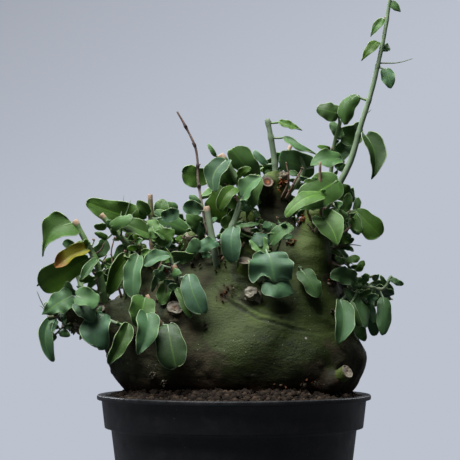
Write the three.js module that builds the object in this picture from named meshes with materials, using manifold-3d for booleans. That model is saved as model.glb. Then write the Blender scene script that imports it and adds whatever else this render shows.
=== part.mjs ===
// Potted Adenia spinosa: a swollen green caudex in a black nursery pot, with arms, columns,
// cut stubs and about thirty leafy shoots.
// Millimetres, +Z up, +X to the right and +Y to the back. The origin is the middle of the
// flat underside of the pot.
import * as THREE from "three";
import { mergeVertices } from "three/addons/utils/BufferGeometryUtils.js";
import Module from "manifold-3d";

const wasm = await Module();
wasm.setup();

// Driving dimensions of the pot
const POT_HEIGHT = 150;
const RIM_RADIUS = 90;
const LIP_HEIGHT = 3.2;
const COLLAR_HEIGHT = 21;
const COLLAR_TOP_RADIUS = 87;
const COLLAR_FOOT_RADIUS = 85;
const WALL_TOP_RADIUS = 80.8;
const FOOT_RADIUS = 65;
const WALL = 2;
const FLOOR = 3;
const POT_SIDES = 36;
const DRAIN_HOLES = 8;
const DRAIN_RADIUS = 5.5;
const DRAIN_CIRCLE = 46;
const DRAIN_SIDES = 8;
const FOOT_BEVEL = 3;
const LIP_BEVEL = 0.9;
const COLLAR_SLANT = 3;
const COLLAR_WALL = 3;
const INNER_TOP = COLLAR_TOP_RADIUS - COLLAR_WALL;
const INNER_COLLAR = COLLAR_FOOT_RADIUS - COLLAR_WALL;

// Soil
const SOIL_EDGE_LEVEL = 148.3;
const SOIL_CROWN_LEVEL = 155;
const SOIL_GRAIN = 1;
const SOIL_SLOPE = 34;
const SOIL_RINGS = [76, 66, 50];
const SOIL_SLIDE = 0.02;
const SOIL_SEED = 19;

// Clearances
const GAP = 0.35;
const BLADE_CLEAR = 2.5;
const STALK_CLEAR = 1.3;
const SKIN_CLEAR = 1.2;
const MOST_ROOM = 9;

// Samples that leaves are held clear by: rows and half the columns of a blade, step on a stem
const SAMPLE_ROWS = 9;
const SAMPLE_COLUMNS = 3;
const SAMPLE_STEP = 2.5;

// Points nearer than this are one point after a join or a cut
const WELD = 0.02;

// Caudex skin mesh
const SKIN_CELL = 9.7;
const SKIN_LOW = [-132, -74, 118];
const SKIN_HIGH = [104, 74, 306];
const SKIN_PASSES = 2;
const SKIN_PULL = 0.8;
const SLOPE_STEP = 0.4;

// Leaves. A width is given as it shows from the front, so a rolled blade is wider
const BLADE_THICKNESS = 1.3;
const STALK_RADIUS = 0.75;
const OUTLINE_POWER = 2.4;
const ROLL_WIDENING = 0.7;

// Spines and tendrils
const NEEDLE_FOOT = 0.55;
const NEEDLE_POINT = 0.2;
const NEEDLE_SIDES = 3;

// Small helpers

const vec = (list) => new THREE.Vector3(list[0], list[1], list[2]);

function draws(seed) {
  let state = seed >>> 0;
  return () => {
    state = (Math.imul(state, 1664525) + 1013904223) >>> 0;
    return state / 4294967296;
  };
}

function solidFrom(points, triangles) {
  const vertProperties = new Float32Array(points.length * 3);
  points.forEach((point, index) => vertProperties.set([point.x, point.y, point.z], index * 3));
  const triVerts = new Uint32Array(triangles.flat());
  return new wasm.Manifold(new wasm.Mesh({ numProp: 3, vertProperties, triVerts }));
}

function solidFromGeometry(geometry) {
  const bare = geometry.clone();
  bare.deleteAttribute("normal");
  bare.deleteAttribute("uv");
  const merged = mergeVertices(bare, 1e-4);
  const vertProperties = new Float32Array(merged.attributes.position.array);
  const triVerts = new Uint32Array(merged.index.array);
  return new wasm.Manifold(new wasm.Mesh({ numProp: 3, vertProperties, triVerts }));
}

// Fusing can leave a sealed hollow or a scrap, so the largest body is taken
function geometryFrom(solid) {
  const bodies = solid.simplify(WELD).decompose().sort((a, b) => b.volume() - a.volume());
  const mesh = bodies[0].simplify(WELD).getMesh();
  const geometry = new THREE.BufferGeometry();
  geometry.setAttribute("position", new THREE.BufferAttribute(mesh.vertProperties, 3));
  geometry.setIndex(new THREE.BufferAttribute(mesh.triVerts, 1));
  geometry.computeVertexNormals();
  return geometry;
}

// Caudex: rounded cones and ellipsoids that flow into one another

const BODY = { centre: [2, 2, 175], radii: [84.5, 56, 46] };

const SWELLINGS = [
  { centre: [22, 4, 216], radii: [38, 33, 35] },
  { centre: [-40, 2, 204], radii: [37, 36, 25] },
];

// Each limb is a chain of [x, y, z, radius]
const LIMBS = {
  leftArm: [[-66, 0, 194, 20], [-90, -5, 200, 12.5], [-109, -7, 207, 8.5]],
  leftRiser: [[-50, -2, 214, 14], [-58, 0, 234, 9.5], [-62, -2, 243, 7.5]],
  leftBackRiser: [[-30, 16, 214, 14], [-42, 20, 240, 9]],
  cutBranch: [[-20, 0, 222, 12], [-25, -4, 244, 8.2], [-26, -5, 253, 7]],
  middleArm: [[-4, -12, 222, 15], [2, -12, 246, 11.5], [8, -7, 266, 8]],
  rearColumn: [[27, 10, 236, 16], [27, 13, 266, 11.5], [27, 12, 289, 9.4]],
  rightColumn: [[50, -6, 203, 20], [48.5, -6, 242, 14.5], [53, -5, 268, 7]],
  rightArm: [[62, 10, 202, 16], [73, 14, 222, 8]],
  backArm: [[-6, 34, 206, 15], [-12, 46, 226, 8.5]],
  backRightArm: [[40, 30, 212, 14], [50, 40, 236, 8]],
};

// How wide the parts flow into one another: swellings, limbs, and the stretches of one limb
const BODY_BLEND = 26;
const LIMB_BLEND = 13;
const BEND_BLEND = 4;

// Low lumps all over the skin
const LUMP_HEIGHT = 0.9;

function smoothMin(a, b, width) {
  const near = Math.max(width - Math.abs(a - b), 0) / width;
  return Math.min(a, b) - near * near * width / 4;
}

function ellipsoidDistance(x, y, z, part) {
  const [cx, cy, cz] = part.centre;
  const [rx, ry, rz] = part.radii;
  const ax = (x - cx) / rx;
  const ay = (y - cy) / ry;
  const az = (z - cz) / rz;
  const scaled = Math.hypot(ax, ay, az);
  const slope = Math.hypot(ax / rx, ay / ry, az / rz);
  return scaled * (scaled - 1) / Math.max(slope, 1e-9);
}

function coneDistance(x, y, z, a, b) {
  const bx = b[0] - a[0];
  const by = b[1] - a[1];
  const bz = b[2] - a[2];
  const px = x - a[0];
  const py = y - a[1];
  const pz = z - a[2];
  const share = (px * bx + py * by + pz * bz) / (bx * bx + by * by + bz * bz);
  const t = Math.min(Math.max(share, 0), 1);
  return Math.hypot(px - t * bx, py - t * by, pz - t * bz) - (a[3] + t * (b[3] - a[3]));
}

function skinDistance(x, y, z) {
  let distance = ellipsoidDistance(x, y, z, BODY);
  for (const swelling of SWELLINGS) {
    distance = smoothMin(distance, ellipsoidDistance(x, y, z, swelling), BODY_BLEND);
  }
  for (const chain of Object.values(LIMBS)) {
    let limb = coneDistance(x, y, z, chain[0], chain[1]);
    for (let i = 2; i < chain.length; i += 1) {
      limb = smoothMin(limb, coneDistance(x, y, z, chain[i - 1], chain[i]), BEND_BLEND);
    }
    distance = smoothMin(distance, limb, LIMB_BLEND);
  }
  const wide = Math.sin(x / 13 + 0.6) * Math.sin(z / 10 + y / 17);
  const narrow = 0.6 * Math.sin(x / 6.5 - z / 8 + 1);
  return distance + LUMP_HEIGHT * (wide + narrow);
}

function skinNormal(x, y, z) {
  const step = SLOPE_STEP;
  const normal = new THREE.Vector3(
    skinDistance(x + step, y, z) - skinDistance(x - step, y, z),
    skinDistance(x, y + step, z) - skinDistance(x, y - step, z),
    skinDistance(x, y, z + step) - skinDistance(x, y, z - step),
  );
  return normal.normalize();
}

// A grid cell has corners 0 to 7, where bits 1, 2 and 4 stand for its x, y and z sides
const CELL_AXES = [[1, 2, 4], [2, 4, 1], [4, 1, 2]];
const CELL_EDGES = [];
const CELL_FACES = [];
for (const [bit, u, v] of CELL_AXES) {
  [0, u, v, u | v].forEach((corner) => CELL_EDGES.push([corner, corner | bit]));
  [0, bit].forEach((corner) => CELL_FACES.push([corner, corner | u, corner | u | v, corner | v]));
}

// The crossed edges of a cell, grouped by the sheet of skin that crosses them. Where two
// sheets cross one face, each keeps to its own inside corner.
function cellSheets(corners) {
  const sheetOf = new Map();
  const crossed = CELL_EDGES.filter(([a, b]) => (corners[a] < 0) !== (corners[b] < 0));
  crossed.forEach(([a, b], sheet) => sheetOf.set(a * 8 + b, sheet));
  const join = (first, second) => {
    const [from, to] = [sheetOf.get(first), sheetOf.get(second)];
    sheetOf.forEach((sheet, key) => sheetOf.set(key, sheet === from ? to : sheet));
  };
  for (const face of CELL_FACES) {
    const keys = face.map((corner, n) => {
      const next = face[(n + 1) % 4];
      return Math.min(corner, next) * 8 + Math.max(corner, next);
    });
    const open = keys.filter((key) => sheetOf.has(key));
    if (open.length === 2) {
      join(open[0], open[1]);
    } else if (open.length === 4) {
      face.forEach((corner, n) => {
        if (corners[corner] < 0) {
          join(keys[(n + 3) % 4], keys[n]);
        }
      });
    }
  }
  return sheetOf;
}

// The skin is meshed on a grid: one vertex for each sheet in a cell, and one quad round each
// grid edge that the skin crosses
function skinMesh() {
  const counts = SKIN_LOW.map((low, axis) => Math.ceil((SKIN_HIGH[axis] - low) / SKIN_CELL) + 1);
  const [nx, ny, nz] = counts;
  const at = (i, j, k) => (k * ny + j) * nx + i;
  const place = (i, j, k) => vec([i, j, k]).multiplyScalar(SKIN_CELL).add(vec(SKIN_LOW));
  const values = new Float64Array(nx * ny * nz).fill(SKIN_CELL);
  const eachCell = (from, visit) => {
    for (let k = from; k < nz - 1; k += 1) {
      for (let j = from; j < ny - 1; j += 1) {
        for (let i = from; i < nx - 1; i += 1) {
          visit(i, j, k);
        }
      }
    }
  };
  eachCell(0, (i, j, k) => {
    const point = place(i, j, k);
    values[at(i, j, k)] = skinDistance(point.x, point.y, point.z);
  });
  const points = [];
  const vertexOf = new Map();
  eachCell(0, (i, j, k) => {
    const sides = (corner) => [i + (corner & 1), j + ((corner >> 1) & 1), k + (corner >> 2)];
    const corners = [0, 1, 2, 3, 4, 5, 6, 7].map((corner) => values[at(...sides(corner))]);
    const sheetOf = cellSheets(corners);
    for (const sheet of new Set(sheetOf.values())) {
      const keys = [...sheetOf.keys()].filter((key) => sheetOf.get(key) === sheet);
      const point = new THREE.Vector3();
      keys.forEach((key) => {
        const [a, b] = [key >> 3, key & 7];
        const share = corners[a] / (corners[a] - corners[b]);
        point.add(place(...sides(a)).lerp(place(...sides(b)), share));
        vertexOf.set(at(i, j, k) * 64 + key, points.length);
      });
      point.divideScalar(keys.length);
      for (let pass = 0; pass < SKIN_PASSES; pass += 1) {
        const normal = skinNormal(point.x, point.y, point.z);
        point.addScaledVector(normal, -SKIN_PULL * skinDistance(point.x, point.y, point.z));
      }
      points.push(point);
    }
  });
  const triangles = [];
  eachCell(1, (i, j, k) => {
    const here = values[at(i, j, k)] < 0;
    for (const [bit, u, v] of CELL_AXES) {
      const steps = (mask) => [i - (mask & 1), j - ((mask >> 1) & 1), k - (mask >> 2)];
      const beyond = values[at(i + (bit & 1), j + ((bit >> 1) & 1), k + (bit >> 2))] < 0;
      if (here === beyond) {
        continue;
      }
      const [a, b, c, d] = [u | v, v, 0, u].map((mask) => {
        return vertexOf.get(at(...steps(mask)) * 64 + mask * 8 + (mask | bit));
      });
      const shorter = points[a].distanceTo(points[c]) < points[b].distanceTo(points[d]);
      const pair = shorter ? [[a, b, c], [a, c, d]] : [[a, b, d], [b, c, d]];
      pair.forEach((triangle) => triangles.push(here ? triangle : triangle.reverse()));
    }
  });
  return { points, triangles };
}

// Round rods: stems, cut stubs, twigs, tendrils and spines are closed rods along a path.
// path is a list of [x, y, z, radius]
function rod(path, sides, grow = 0) {
  const centres = path.map(vec);
  const points = [];
  const triangles = [];
  let across = new THREE.Vector3(0.31, 0.87, 0.38);
  centres.forEach((centre, row) => {
    const before = centres[Math.max(row - 1, 0)];
    const after = centres[Math.min(row + 1, centres.length - 1)];
    const along = after.clone().sub(before).normalize();
    across = across.clone().addScaledVector(along, -across.dot(along)).normalize();
    const third = along.clone().cross(across);
    const ends = (row === 0 ? -1 : 0) + (row === centres.length - 1 ? 1 : 0);
    const middle = centre.clone().addScaledVector(along, ends * grow);
    for (let side = 0; side < sides; side += 1) {
      const turn = side * 2 * Math.PI / sides;
      const radius = path[row][3] + grow;
      points.push(middle.clone()
        .addScaledVector(across, radius * Math.cos(turn))
        .addScaledVector(third, radius * Math.sin(turn)));
    }
  });
  for (let row = 0; row < centres.length - 1; row += 1) {
    for (let side = 0; side < sides; side += 1) {
      const next = (side + 1) % sides;
      const [a, b] = [row * sides + side, row * sides + next];
      triangles.push([a, b, b + sides], [a, b + sides, a + sides]);
    }
  }
  const last = (centres.length - 1) * sides;
  for (let side = 1; side < sides - 1; side += 1) {
    triangles.push([0, side + 1, side], [last, last + side, last + side + 1]);
  }
  return solidFrom(points, triangles);
}

// Stems pass smoothly through the points that are given for them
function smoothPath(points, radii, step) {
  const curve = new THREE.CatmullRomCurve3(points.map(vec), false, "centripetal");
  const count = Math.max(2, Math.round(curve.getLength() / step));
  const path = [];
  for (let i = 0; i <= count; i += 1) {
    const point = curve.getPointAt(i / count);
    const radius = radii[0] + (radii[1] - radii[0]) * i / count;
    path.push([point.x, point.y, point.z, radius]);
  }
  return path;
}

// Points at most step apart on the straight stretches of a path
function pathSamples(path, step) {
  const samples = [path[0]];
  for (let row = 1; row < path.length; row += 1) {
    const [from, to] = [path[row - 1], path[row]];
    const count = Math.ceil(vec(from).distanceTo(vec(to)) / step);
    for (let i = 1; i <= count; i += 1) {
      samples.push(from.map((value, axis) => value + (to[axis] - value) * i / count));
    }
  }
  return samples;
}

// Cut stubs of old limbs: [from, to, radius at the foot, radius at the cut]
const STUBS = [
  [[60, -34, 159], [73, -47, 169], 5.8, 4.4],
  [[6, -24, 226], [7, -31, 240], 7, 4.6],
  [[58, -8, 222], [66, -12, 238], 6, 4.2],
  [[-40, -30, 199], [-38, -43, 208], 8, 5.4],
  [[20, 4, 286], [22, -3, 294], 5, 4],
  [[31, 10, 285], [33, 6, 297], 4.4, 3.4],
  [[4, -16, 252], [8, -22, 261], 6, 4],
  [[-26, -6, 245], [-27, -11, 257], 6.4, 4.8],
  [[2, -6, 252], [-3, -1, 273], 4.4, 3],
  [[12, -30, 212], [11, -39, 220], 6, 4.4],
  [[-84, -10, 200], [-88, -19, 208], 5.4, 3.8],
  [[-70, 18, 204], [-76, 27, 214], 5.4, 3.8],
  [[20, 40, 208], [22, 52, 218], 6, 4.2],
  [[66, 22, 196], [76, 32, 206], 5.4, 3.8],
  [[-50, 34, 200], [-56, 44, 210], 5.4, 3.8],
];

const STUB_SIDES = 9;
const STUB_MIDDLE = 0.55;

const stubPath = ([from, to, foot, cut]) => {
  const middle = from.map((value, axis) => value + STUB_MIDDLE * (to[axis] - value));
  return [[...from, foot], [...middle, (foot + cut) / 2], [...to, cut]];
};

// Leaves

const FRONT = new THREE.Vector3(0, -1, 0);

// A leaf is given as [base x, y, z, tip x, y, z, width, roll]. At roll 0 the blade faces the
// front, and a plus roll turns its face up.
function makeLeaf(row, character) {
  const base = vec(row);
  const axis = vec(row.slice(3)).sub(base);
  const length = axis.length();
  axis.normalize();
  const roll = row[7] * Math.PI / 180;
  const face = (character.face || FRONT).clone();
  face.addScaledVector(axis, -face.dot(axis)).normalize();
  const sideways = axis.clone().cross(face);
  const lift = sideways.z >= 0 ? 1 : -1;
  const normal = face.multiplyScalar(Math.cos(roll)).addScaledVector(sideways, lift * Math.sin(roll));
  const side = axis.clone().cross(normal);
  return { base, axis, normal, side, length, ...character };
}

// Half width along the blade, as a share of the widest place: round at both ends
function outline(t, shape) {
  const share = Math.abs(2 * Math.pow(t, shape) - 1);
  return Math.sqrt(Math.max(1 - Math.pow(share, OUTLINE_POWER), 0));
}

// t runs from the base to the tip, s from one margin (-1) to the other (1)
function bladePoint(leaf, t, s) {
  const half = leaf.width / 2 * outline(t, leaf.shape);
  const turn = 2 * Math.PI * leaf.ripples * t + leaf.phase + 1.4 * s;
  const wave = leaf.wave * leaf.width * s * s * Math.sin(turn);
  const rise = leaf.arch * leaf.length * 4 * t * (1 - t) + leaf.cup * half * s * s + wave;
  const sweep = leaf.sweep * leaf.length * 4 * t * (1 - t);
  return leaf.base.clone()
    .addScaledVector(leaf.axis, leaf.length * t)
    .addScaledVector(leaf.side, half * s + sweep)
    .addScaledVector(leaf.normal, rise);
}

function bladeRows(leaf) {
  if (leaf.length > 18) {
    return [0.06, 0.32, 0.68, 0.94];
  }
  return leaf.length > 8 ? [0.08, 0.48, 0.9] : [0.2, 0.75];
}

// The blade is a thin lens across: a margin point each side and a ridge above and below
function leafSolid(leaf) {
  const rings = [];
  const stalkAxis = leaf.base.clone().sub(leaf.root).normalize();
  for (const centre of [leaf.root, leaf.base]) {
    const side = leaf.side.clone().addScaledVector(stalkAxis, -leaf.side.dot(stalkAxis)).normalize();
    const up = side.clone().cross(stalkAxis);
    rings.push([
      centre.clone().addScaledVector(side, -STALK_RADIUS),
      centre.clone().addScaledVector(up, STALK_RADIUS),
      centre.clone().addScaledVector(side, STALK_RADIUS),
      centre.clone().addScaledVector(up, -STALK_RADIUS),
    ]);
  }
  for (const t of bladeRows(leaf)) {
    const middle = bladePoint(leaf, t, 0);
    rings.push([
      bladePoint(leaf, t, -1),
      middle.clone().addScaledVector(leaf.normal, BLADE_THICKNESS / 2),
      bladePoint(leaf, t, 1),
      middle.clone().addScaledVector(leaf.normal, -BLADE_THICKNESS / 2),
    ]);
  }
  const points = rings.flat();
  const tip = points.length;
  points.push(bladePoint(leaf, 1, 0));
  const triangles = [[0, 1, 2], [0, 2, 3]];
  for (let row = 0; row < rings.length - 1; row += 1) {
    for (let k = 0; k < 4; k += 1) {
      const next = (k + 1) % 4;
      const [a, b] = [row * 4 + k, row * 4 + next];
      const [c, d] = [a + 4, b + 4];
      // Both faces split along the same diagonals
      if (k % 2 === 0) {
        triangles.push([a, c, d], [a, d, b]);
      } else {
        triangles.push([a, c, b], [b, c, d]);
      }
    }
  }
  const last = (rings.length - 1) * 4;
  for (let k = 0; k < 4; k += 1) {
    triangles.push([last + k, tip, last + (k + 1) % 4]);
  }
  const solid = solidFrom(points, triangles);
  if (solid.volume() > 0) {
    return solid;
  }
  return solidFrom(points, triangles.map((triangle) => triangle.slice().reverse()));
}

// Shoots. stem: the points that it passes through; radii: at the foot and the end
const SHOOTS = {
  left_tip: {
    stem: [[-84, -8, 205], [-86, -12, 222], [-90, -14, 239], [-96, -14, 251], [-104, -13, 266]],
    radii: [2.5, 1.8],
    leaves: [
      [-105.5, -13, 264, -126, -16, 245, 19, 25],
      [-95, -18, 247, -116, -26, 235, 10, 25],
      [-95, -10, 241, -127, -6, 222, 17, -10],
      [-104, -8, 247, -112, -6, 252, 6, 0],
      [-93, -9, 243, -84, -3, 254, 9, -15],
      [-89, -20, 240, -99, -30, 228, 6, 35],
      [-88, -18, 218, -102, -24, 223, 5, 20],
    ],
  },
  left_crown: {
    stem: [[-61, -3, 238], [-65, -6, 246], [-76, -8, 257], [-87, -8, 270]],
    radii: [2.4, 1.8],
    needles: [
      [[-76, -8, 257], [-68, -4, 278]],
      [[-76, -8, 257], [-72, 0, 284]],
      [[-78, -8, 260], [-64, -8, 272]],
    ],
    leaves: [
      [-78, -9, 260, -83, -12, 266, 5, 0],
      [-83, -5, 254, -91, -2, 258, 4, 0],
      [-68, -14, 243, -82, -20, 218, 12, -20],
      [-62, -20, 243, -65, -32, 216, 12, 10],
      [-72, -4, 250, -74, 2, 229, 10, -30],
      [-80, -12, 262, -66, -18, 268, 8, 20],
    ],
  },
  left_front: {
    stem: [[-66, -14, 196], [-74, -26, 198], [-89, -25, 205], [-104, -20, 214]],
    radii: [1.5, 1.1],
    leaves: [
      [-105, -20, 217, -124, -24, 206, 14, 20],
      [-102, -16, 217, -87, -15, 214, 14, 35],
      [-102, -22, 213, -91, -30, 201, 12, 20],
      [-84, -27, 205, -89, -39, 184, 19, 5],
      [-105, -17, 217, -109, -14, 226, 7, 0],
      [-68, -26, 199, -81, -34, 174, 10, -15],
    ],
  },
  left_end: {
    stem: [[-104, -8, 206], [-114, -12, 204], [-121, -13, 203]],
    radii: [1.7, 1.2],
    needles: [[[-120, -12.5, 203.5], [-129, -13, 219]], [[-120, -12.5, 203], [-127, -9, 211]]],
    leaves: [
      [-119, -11, 203, -118, -18, 174, 11, 10],
      [-116, -14, 200, -118, -20, 193, 3, 0],
      [-112, -15, 206, -110, -22, 199, 4, 0],
    ],
  },
  front_twig: {
    stem: [[-42, -34, 190], [-45, -45, 196], [-50, -48, 205], [-56, -47, 218]],
    radii: [1.7, 1.1],
    leaves: [
      [-57, -48, 216, -62, -56, 198, 16, -10],
      [-56, -51, 206, -61, -64, 181, 14, 8],
      [-42.5, -52, 199, -37, -66, 173, 19, 5],
    ],
  },
  crown_stub: {
    stem: [[-52, 0, 228], [-53, 0, 240], [-54, -1, 256], [-55, -2, 283]],
    radii: [2.2, 1.6],
    leaves: [
      [-60, -6, 265, -97, -12, 278, 15, -25],
      [-50, -12, 256, -74, -18, 266, 11, 30],
      [-52, -9, 264, -46, -18, 253, 7, 10],
      [-53, 7, 270, -30, 10, 259, 11, 30],
      [-50, -8, 250, -40, -22, 240, 10, -10],
      [-56, 4, 262, -72, 12, 254, 11, 10],
    ],
  },
  crown_stub_back: {
    stem: [[-42, 18, 236], [-45, 12, 250], [-47, 8, 264], [-49, 6, 279]],
    radii: [2.2, 1.6],
    leaves: [
      [-43, 4, 264, -33, -2, 268, 9, -10],
      [-50, 12, 271, -37, 17, 276, 8, 10],
      [-41, 6, 260, -22, 2, 262, 10, 30],
    ],
  },
  grey_stem: {
    stem: [[-9, -10, 226], [-10, -18, 233], [-12, -22, 243], [-15, -22, 259], [-18, -21, 275]],
    radii: [2.8, 2],
    leaves: [
      [-22, -22, 272, -33, -26, 275, 9, 10],
      [-22, -18, 277, -29, -15, 282, 5, 0],
      [-11, -26, 252, -24, -34, 246, 9, 20],
    ],
  },
  shoulder: {
    stem: [[-33, -26, 212], [-34, -36, 221], [-37, -39, 230], [-39, -39, 237]],
    radii: [2.6, 1.9],
    leaves: [
      [-29, -43, 231, -20, -54, 207, 14, 12],
      [-37, -43, 222, -28, -42, 204, 7, -30],
      [-46, -36, 237, -53, -38, 220, 4, 0],
      [-42, -41, 243, -58, -46, 237, 9, 30],
      [-40, -38, 243, -26, -37, 243, 8, -25],
    ],
  },
  top_left: {
    stem: [[6, -4, 256], [10, -4, 270], [5, -6, 288], [-3, -7, 300], [-9, -8, 309]],
    radii: [3, 2.2],
    leaves: [
      [-5, -12, 305, -13, -20, 285, 13, 20],
      [-12, -8, 308, -17, -8, 316, 3, 0],
      [-16, -4, 294, -34, 0, 297, 14, -10],
      [14, -4, 293, -1.5, -12, 312, 15, -15],
      [3, -12, 295, 11, -16, 300, 5, 0],
      [-5, -3, 288, -12, 0, 265, 17, -10],
      [8, 2, 284, 18, 6, 302, 12, 20],
      [10, 4, 272, -6, 12, 264, 12, 0],
    ],
  },
  pale_stem: {
    stem: [[-2, -16, 244], [-4, -23, 254], [1, -23, 267], [5, -22, 279], [9, -21, 287]],
    radii: [2.3, 1.8],
    leaves: [
      [1, -22, 287, -10, -28, 273, 9, 15],
      [6, -24, 281, 17, -27, 294, 14, 20],
      [15, -22, 295, 9, -32, 268, 10, -20],
      [0, -27, 261, -1, -38, 242, 13, 10],
      [3, -26, 262, 16, -28, 264, 3, 30],
    ],
  },
  column_stem: {
    stem: [[28, 12, 284], [27, 12, 304], [24, 11, 323], [22, 11, 333]],
    radii: [2.8, 2.2],
    leaves: [
      [30, 9, 331, 44, 6, 326, 5, 30],
      [33, 9, 321, 53, 5, 310, 5, 35],
      [22, 14, 303, 13, 15, 312, 5, 0],
    ],
  },
  column_back: {
    stem: [[32, 14, 280], [40, 12, 289], [46, 10, 299], [44, 9, 309]],
    radii: [1.9, 1.4],
    leaves: [
      [53, 10, 301, 29, 14, 306, 19, 10],
    ],
  },
  tall_shoot: {
    needles: [[[95, -5, 369], [117, -2, 371]], [[84.5, -7, 333], [90, -8, 339]]],
    stem: [
      [53, -6, 264], [60, -8, 274], [66, -8, 284], [70, -8, 292], [76, -8, 304], [84, -7, 331],
      [90, -6, 350], [95, -5, 371], [99, -4, 390], [102, -3, 409], [104, -3, 419],
    ],
    radii: [2.4, 1.1],
    leaves: [
      [86, -8, 321.5, 90, -14, 293.5, 13, 20],
      [80.5, -6, 347.5, 72.5, -10, 329, 11, 10],
      [99.5, -6, 365, 102.5, -9, 353, 9, 0],
      [94, -4, 383, 84, -6, 371, 6, 20],
      [98, -3, 398, 90, -4, 387, 5, 10],
      [103, -3, 409, 109, -4, 403, 5, 10],
      [104, -3, 417, 98, -5, 424, 4, 0],
      [104, -3, 418, 107, -1, 427, 3, 0],
    ],
  },
  right_upright: {
    stem: [[55, 2, 262], [62, 5, 280], [64, 6, 299], [66, 5, 316], [70, 3, 331]],
    radii: [1.7, 1.1],
    leaves: [
      [69, 1, 336, 55, -2, 340, 12, 20],
      [71, 4, 320, 64, 8, 331, 7, 0],
      [70, 6, 321, 85, 12, 329, 12, -10],
      [70, -1, 306, 51, -9, 303, 13, 35],
      [68, 9, 307, 77, 14, 318, 11, 0],
      [63, 4, 312, 55, 0, 315, 4, 20],
      [67, 6, 303, 75, 4, 298, 6, 0],
      [63, 10, 288, 78, 16, 280, 12, 10],
      [60, 8, 284, 46, 14, 290, 12, 20],
    ],
  },
  brown_twig: {
    stem: [[56, -12, 260], [57, -17, 272], [56, -20, 286], [56, -21, 304]],
    radii: [1.5, 0.8],
    leaves: [
      [68, -17, 292, 41, -27, 276, 21, 10],
      [57, -25, 282, 33, -37, 270, 10, 40],
    ],
  },
  heart_leaf: {
    stem: [[52, -12, 256], [56, -17, 264], [60, -19, 270]],
    radii: [1.6, 1.2],
    leaves: [
      [57, -21, 268, 67, -31, 250, 17, 10],
      [62, -18, 272, 74, -20, 268, 6, 20],
    ],
  },
  right_fan: {
    stem: [[55, 3, 254], [64, 4, 261], [72, 2, 269], [79, 0, 272]],
    radii: [1.7, 1.2],
    leaves: [
      [80, -1, 272, 96, -4, 256, 15, 10],
      [78, -2, 270, 83, -8, 258, 7, -20],
      [80, 1, 273, 82, 4, 281, 5, 0],
      [75, 0, 265, 83, 0, 257, 4, 0],
      [71, 4, 271, 76, 8, 284, 7, 0],
    ],
  },
  right_spray: {
    stem: [[52, 4, 240], [60, 8, 245], [67, 8, 248], [73, 7, 250]],
    radii: [1.6, 1.1],
    needles: [[[67, 8, 248], [80, 9, 235]], [[70, 8, 249], [84, 6, 250]]],
    leaves: [
      [73, 6, 251, 79, 4, 254, 4, 0],
      [70, 8, 247, 79, 9, 246, 4, 20],
      [66, 6, 246, 73, 2, 238, 6, 10],
      [62, 10, 247, 66, 14, 257, 5, 0],
      [64, 2, 243, 76, -2, 229, 11, -20],
    ],
  },
  right_low: {
    stem: [[66, 12, 214], [72, 6, 219], [80, 2, 222], [90, 0, 222], [98, -2, 221], [103, -3, 229]],
    radii: [1.7, 1],
    leaves: [
      [69, -8, 214, 68, -20, 187, 13, 10],
      [73, -6, 221, 86, -16, 197, 14, 15],
      [98, -4, 215, 97, -10, 191, 10, -10],
      [90, -3, 217, 91, -6, 199, 8, -20],
      [86, 4, 213, 93, 6, 190, 9, -20],
      [76, -1, 212, 82, -5, 197, 6, -30],
      [80, 3, 224, 64, 2, 231, 11, 20],
      [83, 0, 224, 89, -2, 230, 4, 0],
      [100, -2, 224, 96, -4, 230, 3, 0],
      [103, -3, 228, 111, -5, 224, 4, 10],
    ],
  },
  wide_leaf: {
    stem: [[18, -16, 236], [19, -26, 245], [20, -31, 252]],
    radii: [1.7, 1.2],
    leaves: [
      [21, -34, 251, 22, -45, 229, 30, 0],
      [22, -30, 254, 10, -34, 250, 10, 30],
      [24, -28, 250, 38, -30, 262, 9, 30],
    ],
  },
  cup_leaf: {
    stem: [[16, -24, 226], [17, -34, 228], [19, -38, 229]],
    radii: [1.5, 1.1],
    leaves: [
      [20, -40, 228, 38, -40, 219, 12, 35],
    ],
  },
  oval_leaf: {
    stem: [[46, -14, 232], [44, -22, 235], [43, -25, 235]],
    radii: [1.4, 1],
    leaves: [
      [44, -27, 233, 54, -34, 216, 12, 5],
    ],
  },
};

// Shoots of the back and the sides: foot, end and the number of leaves
const BACK_SHOOTS = {
  back_left_tip: { foot: [-92, 2, 204], end: [-106, 18, 236], leaves: 5 },
  back_left: { foot: [-64, 24, 206], end: [-78, 46, 240], leaves: 6 },
  back_crown: { foot: [-42, 22, 236], end: [-50, 42, 276], leaves: 6 },
  back_middle: { foot: [-12, 46, 222], end: [-20, 60, 256], leaves: 6 },
  back_ridge: { foot: [10, 24, 242], end: [4, 40, 284], leaves: 5 },
  back_column: { foot: [28, 16, 282], end: [38, 36, 316], leaves: 5 },
  back_right_arm: { foot: [50, 40, 230], end: [58, 56, 264], leaves: 6 },
  back_right: { foot: [70, 20, 218], end: [86, 44, 222], leaves: 6 },
  back_right_top: { foot: [50, 8, 254], end: [64, 30, 292], leaves: 5 },
  back_low: { foot: [16, 42, 208], end: [30, 66, 224], leaves: 4 },
};
const BACK_SEED = 41;
const BACK_RADII = [2, 1.2];
const AWAY_SHARE = 0.8;
const LEAF_TURN = 2.4;

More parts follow.
